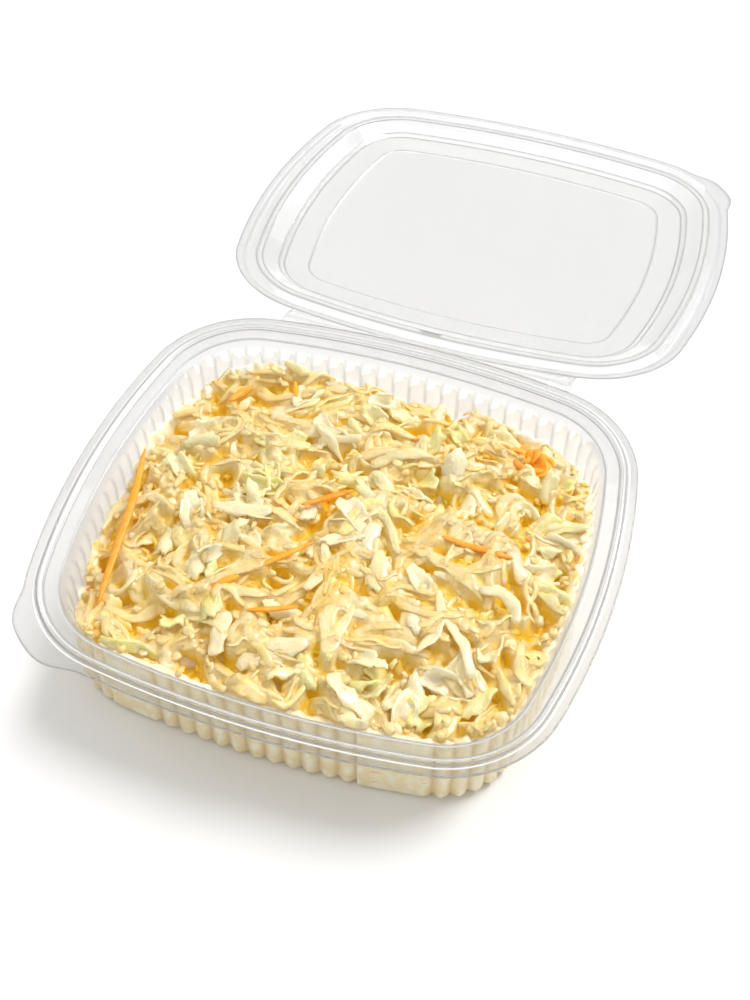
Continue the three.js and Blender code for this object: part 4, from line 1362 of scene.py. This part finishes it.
def vegetable(name, look):
    # the shared group colours the piece; the shader adds a moist coat and warm light under the surface
    material, tree, output = newMaterial(name)
    shader = addNode(tree, "ShaderNodeBsdfPrincipled", (600, 0))
    flesh = addNode(tree, "ShaderNodeGroup", (0, 100), node_tree=dressedFlesh)
    for k, label in enumerate(("tone", "grain", "depth", "wall")):
        read = addNode(tree, "ShaderNodeAttribute", (-400, 300 - 200 * k), attribute_name=label)
        tree.links.new(read.outputs["Vector" if label == "grain" else "Fac"], flesh.inputs[label.title()])
    for label, _ in fleshSockets[4:]:
        flesh.inputs[label].default_value = look[label]
    tree.links.new(flesh.outputs["Colour"], shader.inputs["Base Color"])
    bump = addNode(tree, "ShaderNodeBump", (300, -300))
    bump.inputs["Strength"].default_value = look["bump"]
    bump.inputs["Distance"].default_value = wetFlesh["bumpDistance"]
    tree.links.new(flesh.outputs["Height"], bump.inputs["Height"])
    tree.links.new(bump.outputs["Normal"], shader.inputs["Normal"])
    shader.subsurface_method = "BURLEY"
    for label, value in (
        ("Roughness", look["roughness"]),
        ("Coat Weight", look["coat"]),
        ("Coat Roughness", wetFlesh["coatRoughness"]),
        ("Subsurface Weight", look["under"]),
        ("Subsurface Radius", wetFlesh["lightReach"]),
        ("Subsurface Scale", wetFlesh["lightScale"]),
        ("Emission Color", wetFlesh["glowColour"]),
        ("Emission Strength", wetFlesh["glow"]),
    ):
        shader.inputs[label].default_value = value
    tree.links.new(shader.outputs[0], output.inputs["Surface"])
    return material


# each look's deep colour is painted shade for the hollows between shreds
lookRib = {"First": (0.84, 0.55, 0.13, 1), "Middle": (0.84, 0.61, 0.20, 1), "Last": (0.84, 0.64, 0.29, 1),
           "Fibre": (0.84, 0.69, 0.37, 1), "Fibre Mix": 0.4, "Film": (0.84, 0.69, 0.38, 1), "Film Mix": 0.75,
           "Hollow Shade": (0.86, 0.54, 0.012, 1), "Hollow Shade Mix": 0.95, "Blotch Scale": 300.0, "Lump Scale": 850.0,
           "bump": 0.5, "roughness": 0.38, "coat": 0.6, "under": 0.8}
lookIvory = {**lookRib, "First": (0.84, 0.60, 0.17, 1), "Middle": (0.84, 0.64, 0.26, 1),
             "Last": (0.80, 0.64, 0.21, 1)}
lookPale = {**lookRib, "First": (0.83, 0.71, 0.45, 1), "Middle": (0.81, 0.67, 0.30, 1),
            "Last": (0.72, 0.64, 0.16, 1), "Fibre": (0.84, 0.74, 0.51, 1), "Film": (0.84, 0.74, 0.49, 1),
            "Film Mix": 0.5, "Hollow Shade": (0.80, 0.56, 0.012, 1)}
lookLeaf = {**lookPale, "First": (0.83, 0.74, 0.52, 1), "Middle": (0.79, 0.70, 0.35, 1),
            "Last": (0.71, 0.65, 0.17, 1), "Film Mix": 0.4}
lookCarrot = {**lookRib, "First": (1.0, 0.27, 0.0, 1), "Middle": (1.0, 0.32, 0.0, 1),
              "Last": (1.0, 0.40, 0.01, 1), "Fibre": (1.0, 0.44, 0.02, 1), "Film": (1.0, 0.60, 0.16, 1),
              "Film Mix": 0.25, "Hollow Shade": (0.97, 0.26, 0.0, 1), "Hollow Shade Mix": 0.4, "under": 0.3, "coat": 0.12,
              "roughness": 0.5}
lookBits = {**lookRib, "First": (0.84, 0.60, 0.19, 1), "Last": (0.84, 0.71, 0.42, 1), "Film Mix": 0.6}
lookCoat = {**lookRib, "First": (0.84, 0.56, 0.14, 1), "Middle": (0.84, 0.64, 0.27, 1),
            "Last": (0.79, 0.68, 0.29, 1), "Fibre Mix": 0.2}
lookCore = {**lookRib, "First": (0.86, 0.73, 0.41, 1), "Middle": (0.94, 0.82, 0.55, 1), "Film Mix": 0.9,
            "Film": (1.0, 0.98, 0.82, 1), "Fibre Mix": 0.2, "Blotch Scale": 220.0, "coat": 0.1,
            "Hollow Shade": (0.78, 0.60, 0.32, 1)}


def dress(piece, material):
    # one material, in the piece's only slot
    piece.data.materials.clear()
    piece.data.materials.append(material)


cameraView = {
    "lens": 60.556,  # millimetres, for a long side of 36
    "azimuth": 18.195,
    "elevation": 49.546,
    "roll": 0.928,
    "distance": 0.56175,
    "target": (0.00909, 0.00862, 0.04297),
}


def addCamera():
    # place = target + back(azimuth, elevation) * distance; right and up are turned by roll about back
    azimuth, elevation, roll = (math.radians(cameraView[key]) for key in ("azimuth", "elevation", "roll"))
    back = Vector((
        math.sin(azimuth) * math.cos(elevation),
        -math.cos(azimuth) * math.cos(elevation),
        math.sin(elevation),
    ))
    right = Vector((0, 0, 1)).cross(back).normalized()
    up = back.cross(right)
    turnedRight = math.cos(roll) * right + math.sin(roll) * up
    turnedUp = math.cos(roll) * up - math.sin(roll) * right
    camera = bpy.data.objects.new("camera", bpy.data.cameras.new("camera"))
    bpy.context.scene.collection.objects.link(camera)
    camera.data.lens = cameraView["lens"]
    camera.data.sensor_width = 36
    camera.data.sensor_fit = "AUTO"
    camera.data.clip_start = 0.01
    axes = Matrix((turnedRight, turnedUp, back)).transposed().to_4x4()
    place = Vector(cameraView["target"]) + back * cameraView["distance"]
    camera.matrix_world = Matrix.Translation(place) @ axes
    bpy.context.scene.camera = camera


studio = {
    "floorReach": 3000,
    "floorColour": (0.93, 0.93, 0.93, 1),
    "floorRoughness": 0.8,
    "floorGloss": 0.2,
    "sunEnergy": 2.1,
    "sunAngle": 26,
    "sunFrom": (0.55, 0.75, 1.05),
    "skyLow": 0.38,
    "skyTop": 0.56,
    "skyFrom": 0.1,
    "skyTo": 0.78,
    "softboxes": [  # direction, cosines where it starts and where it is full, strength
        ((-0.2, 0.62, 0.76), 0.90, 0.97, 0.45),
        ((-0.2, -0.12, 0.97), 0.988, 0.995, 4.5),
        ((-0.75, 0.25, 0.75), 0.988, 0.995, 4.0),
        ((0.1, 0.85, 0.5), 0.988, 0.995, 3.0),
    ],
}


def addStage():
    # a pale floor, a broad sun and the sky
    reach = studio["floorReach"]
    points = np.array([[-reach, -reach, 0], [reach, -reach, 0], [reach, reach, 0], [-reach, reach, 0]], float)
    floor = meshPiece("floor", points, [np.array([[0, 1, 2, 3]])], smooth=False)
    material, tree, output = newMaterial("paleFloor")
    shader = addNode(tree, "ShaderNodeBsdfPrincipled", (600, 0))
    shader.inputs["Base Color"].default_value = studio["floorColour"]
    shader.inputs["Roughness"].default_value = studio["floorRoughness"]
    shader.inputs["Specular IOR Level"].default_value = studio["floorGloss"]
    tree.links.new(shader.outputs[0], output.inputs["Surface"])
    floor.data.materials.append(material)
    sun = bpy.data.objects.new("keySun", bpy.data.lights.new("keySun", "SUN"))
    sun.data.energy = studio["sunEnergy"]
    sun.data.angle = math.radians(studio["sunAngle"])
    sun.rotation_mode = "QUATERNION"
    sun.rotation_quaternion = Vector(studio["sunFrom"]).to_track_quat("Z", "Y")
    bpy.context.scene.collection.objects.link(sun)
    addSky()
    bpy.context.scene.view_settings.view_transform = "Standard"


def addSky():
    # dark at the horizon and bright overhead, with a few soft boxes: strength * smoothstep(direction . box)
    world = bpy.data.worlds.new("softStudio")
    bpy.context.scene.world = world
    world.use_nodes = True
    tree = world.node_tree
    tree.nodes.clear()
    output = tree.nodes.new("ShaderNodeOutputWorld")
    background = tree.nodes.new("ShaderNodeBackground")
    place = tree.nodes.new("ShaderNodeTexCoord")
    split = tree.nodes.new("ShaderNodeSeparateXYZ")
    tree.links.new(place.outputs["Generated"], split.inputs[0])
    sky = mapped(tree, (0, 0), split.outputs["Z"], studio["skyFrom"], studio["skyTo"],
                 studio["skyTop"] - studio["skyLow"])
    total = addNode(tree, "ShaderNodeMath", (200, 0), operation="ADD")
    tree.links.new(sky, total.inputs[0])
    total.inputs[1].default_value = studio["skyLow"]
    for direction, start, full, strength in studio["softboxes"]:
        facing = addNode(tree, "ShaderNodeVectorMath", (0, -300), operation="DOT_PRODUCT")
        tree.links.new(place.outputs["Generated"], facing.inputs[0])
        facing.inputs[1].default_value = Vector(direction).normalized()
        box = mapped(tree, (200, -300), facing.outputs["Value"], start, full, strength)
        more = addNode(tree, "ShaderNodeMath", (400, 0), operation="ADD")
        tree.links.new(total.outputs[0], more.inputs[0])
        tree.links.new(box, more.inputs[1])
        total = more
    tree.links.new(total.outputs[0], background.inputs["Color"])
    tree.links.new(background.outputs[0], output.inputs["Surface"])


addCamera()
addStage()
print("camera and studio ready")

plastic = clearPlastic()
tray, lid, strip = makeTray(), makeLid(), makeHingeStrip()
for piece in (tray, lid, strip):
    dress(piece, plastic)
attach(tray, "tub")
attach(lid, "lid")
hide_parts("tray")
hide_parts("lid")
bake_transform(strip)
print("tray, lid and hinge strip made")

kinds, sunkTop = layHeap()
coatTop = coatHeights(sunkTop)
kinds["dressingCoat"] = makeCoat(coatTop)
core, onWall, wallDepth = makeCore(coatTop)
smoothing = {"cells": 3, "blur": 3.0}  # depths are measured from the highest of nine shifted grids, blurred
shifts = (-smoothing["cells"], 0, smoothing["cells"])
highTop = np.max([np.roll(heapTop, (i, j), (0, 1)) for i in shifts for j in shifts], axis=0)
smoothTop = blurred(highTop, smoothing["blur"])
looks = {
    "ribShreds": ("rib", lookRib, "cabbage"),
    "ivoryRibbons": ("ivory", lookIvory, "cabbage"),
    "paleRibbons": ("pale", lookPale, "cabbage"),
    "fineShreds": ("fine", lookIvory, "cabbage"),
    "carrotShreds": ("carrot", lookCarrot, "carrot"),
    "leafCurls": ("leaf", lookLeaf, "green_cabbage"),
    "choppedBits": ("bits", lookBits, "cabbage"),
    "dressingCoat": ("coat", lookCoat, "dressing"),
}
for name, piece in kinds.items():
    label, look, slot = looks[name]
    stampDepth(piece, smoothTop)
    dress(piece, vegetable(label, look))
stampDepth(core, smoothTop, onWall, wallDepth)
dress(core, vegetable("core", lookCore))
for piece in (core, *kinds.values()):
    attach(piece, "tub")
    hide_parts("slaw")
print("salad laid:", ", ".join(f"{name} {len(piece.data.polygons)}" for name, piece in kinds.items()))
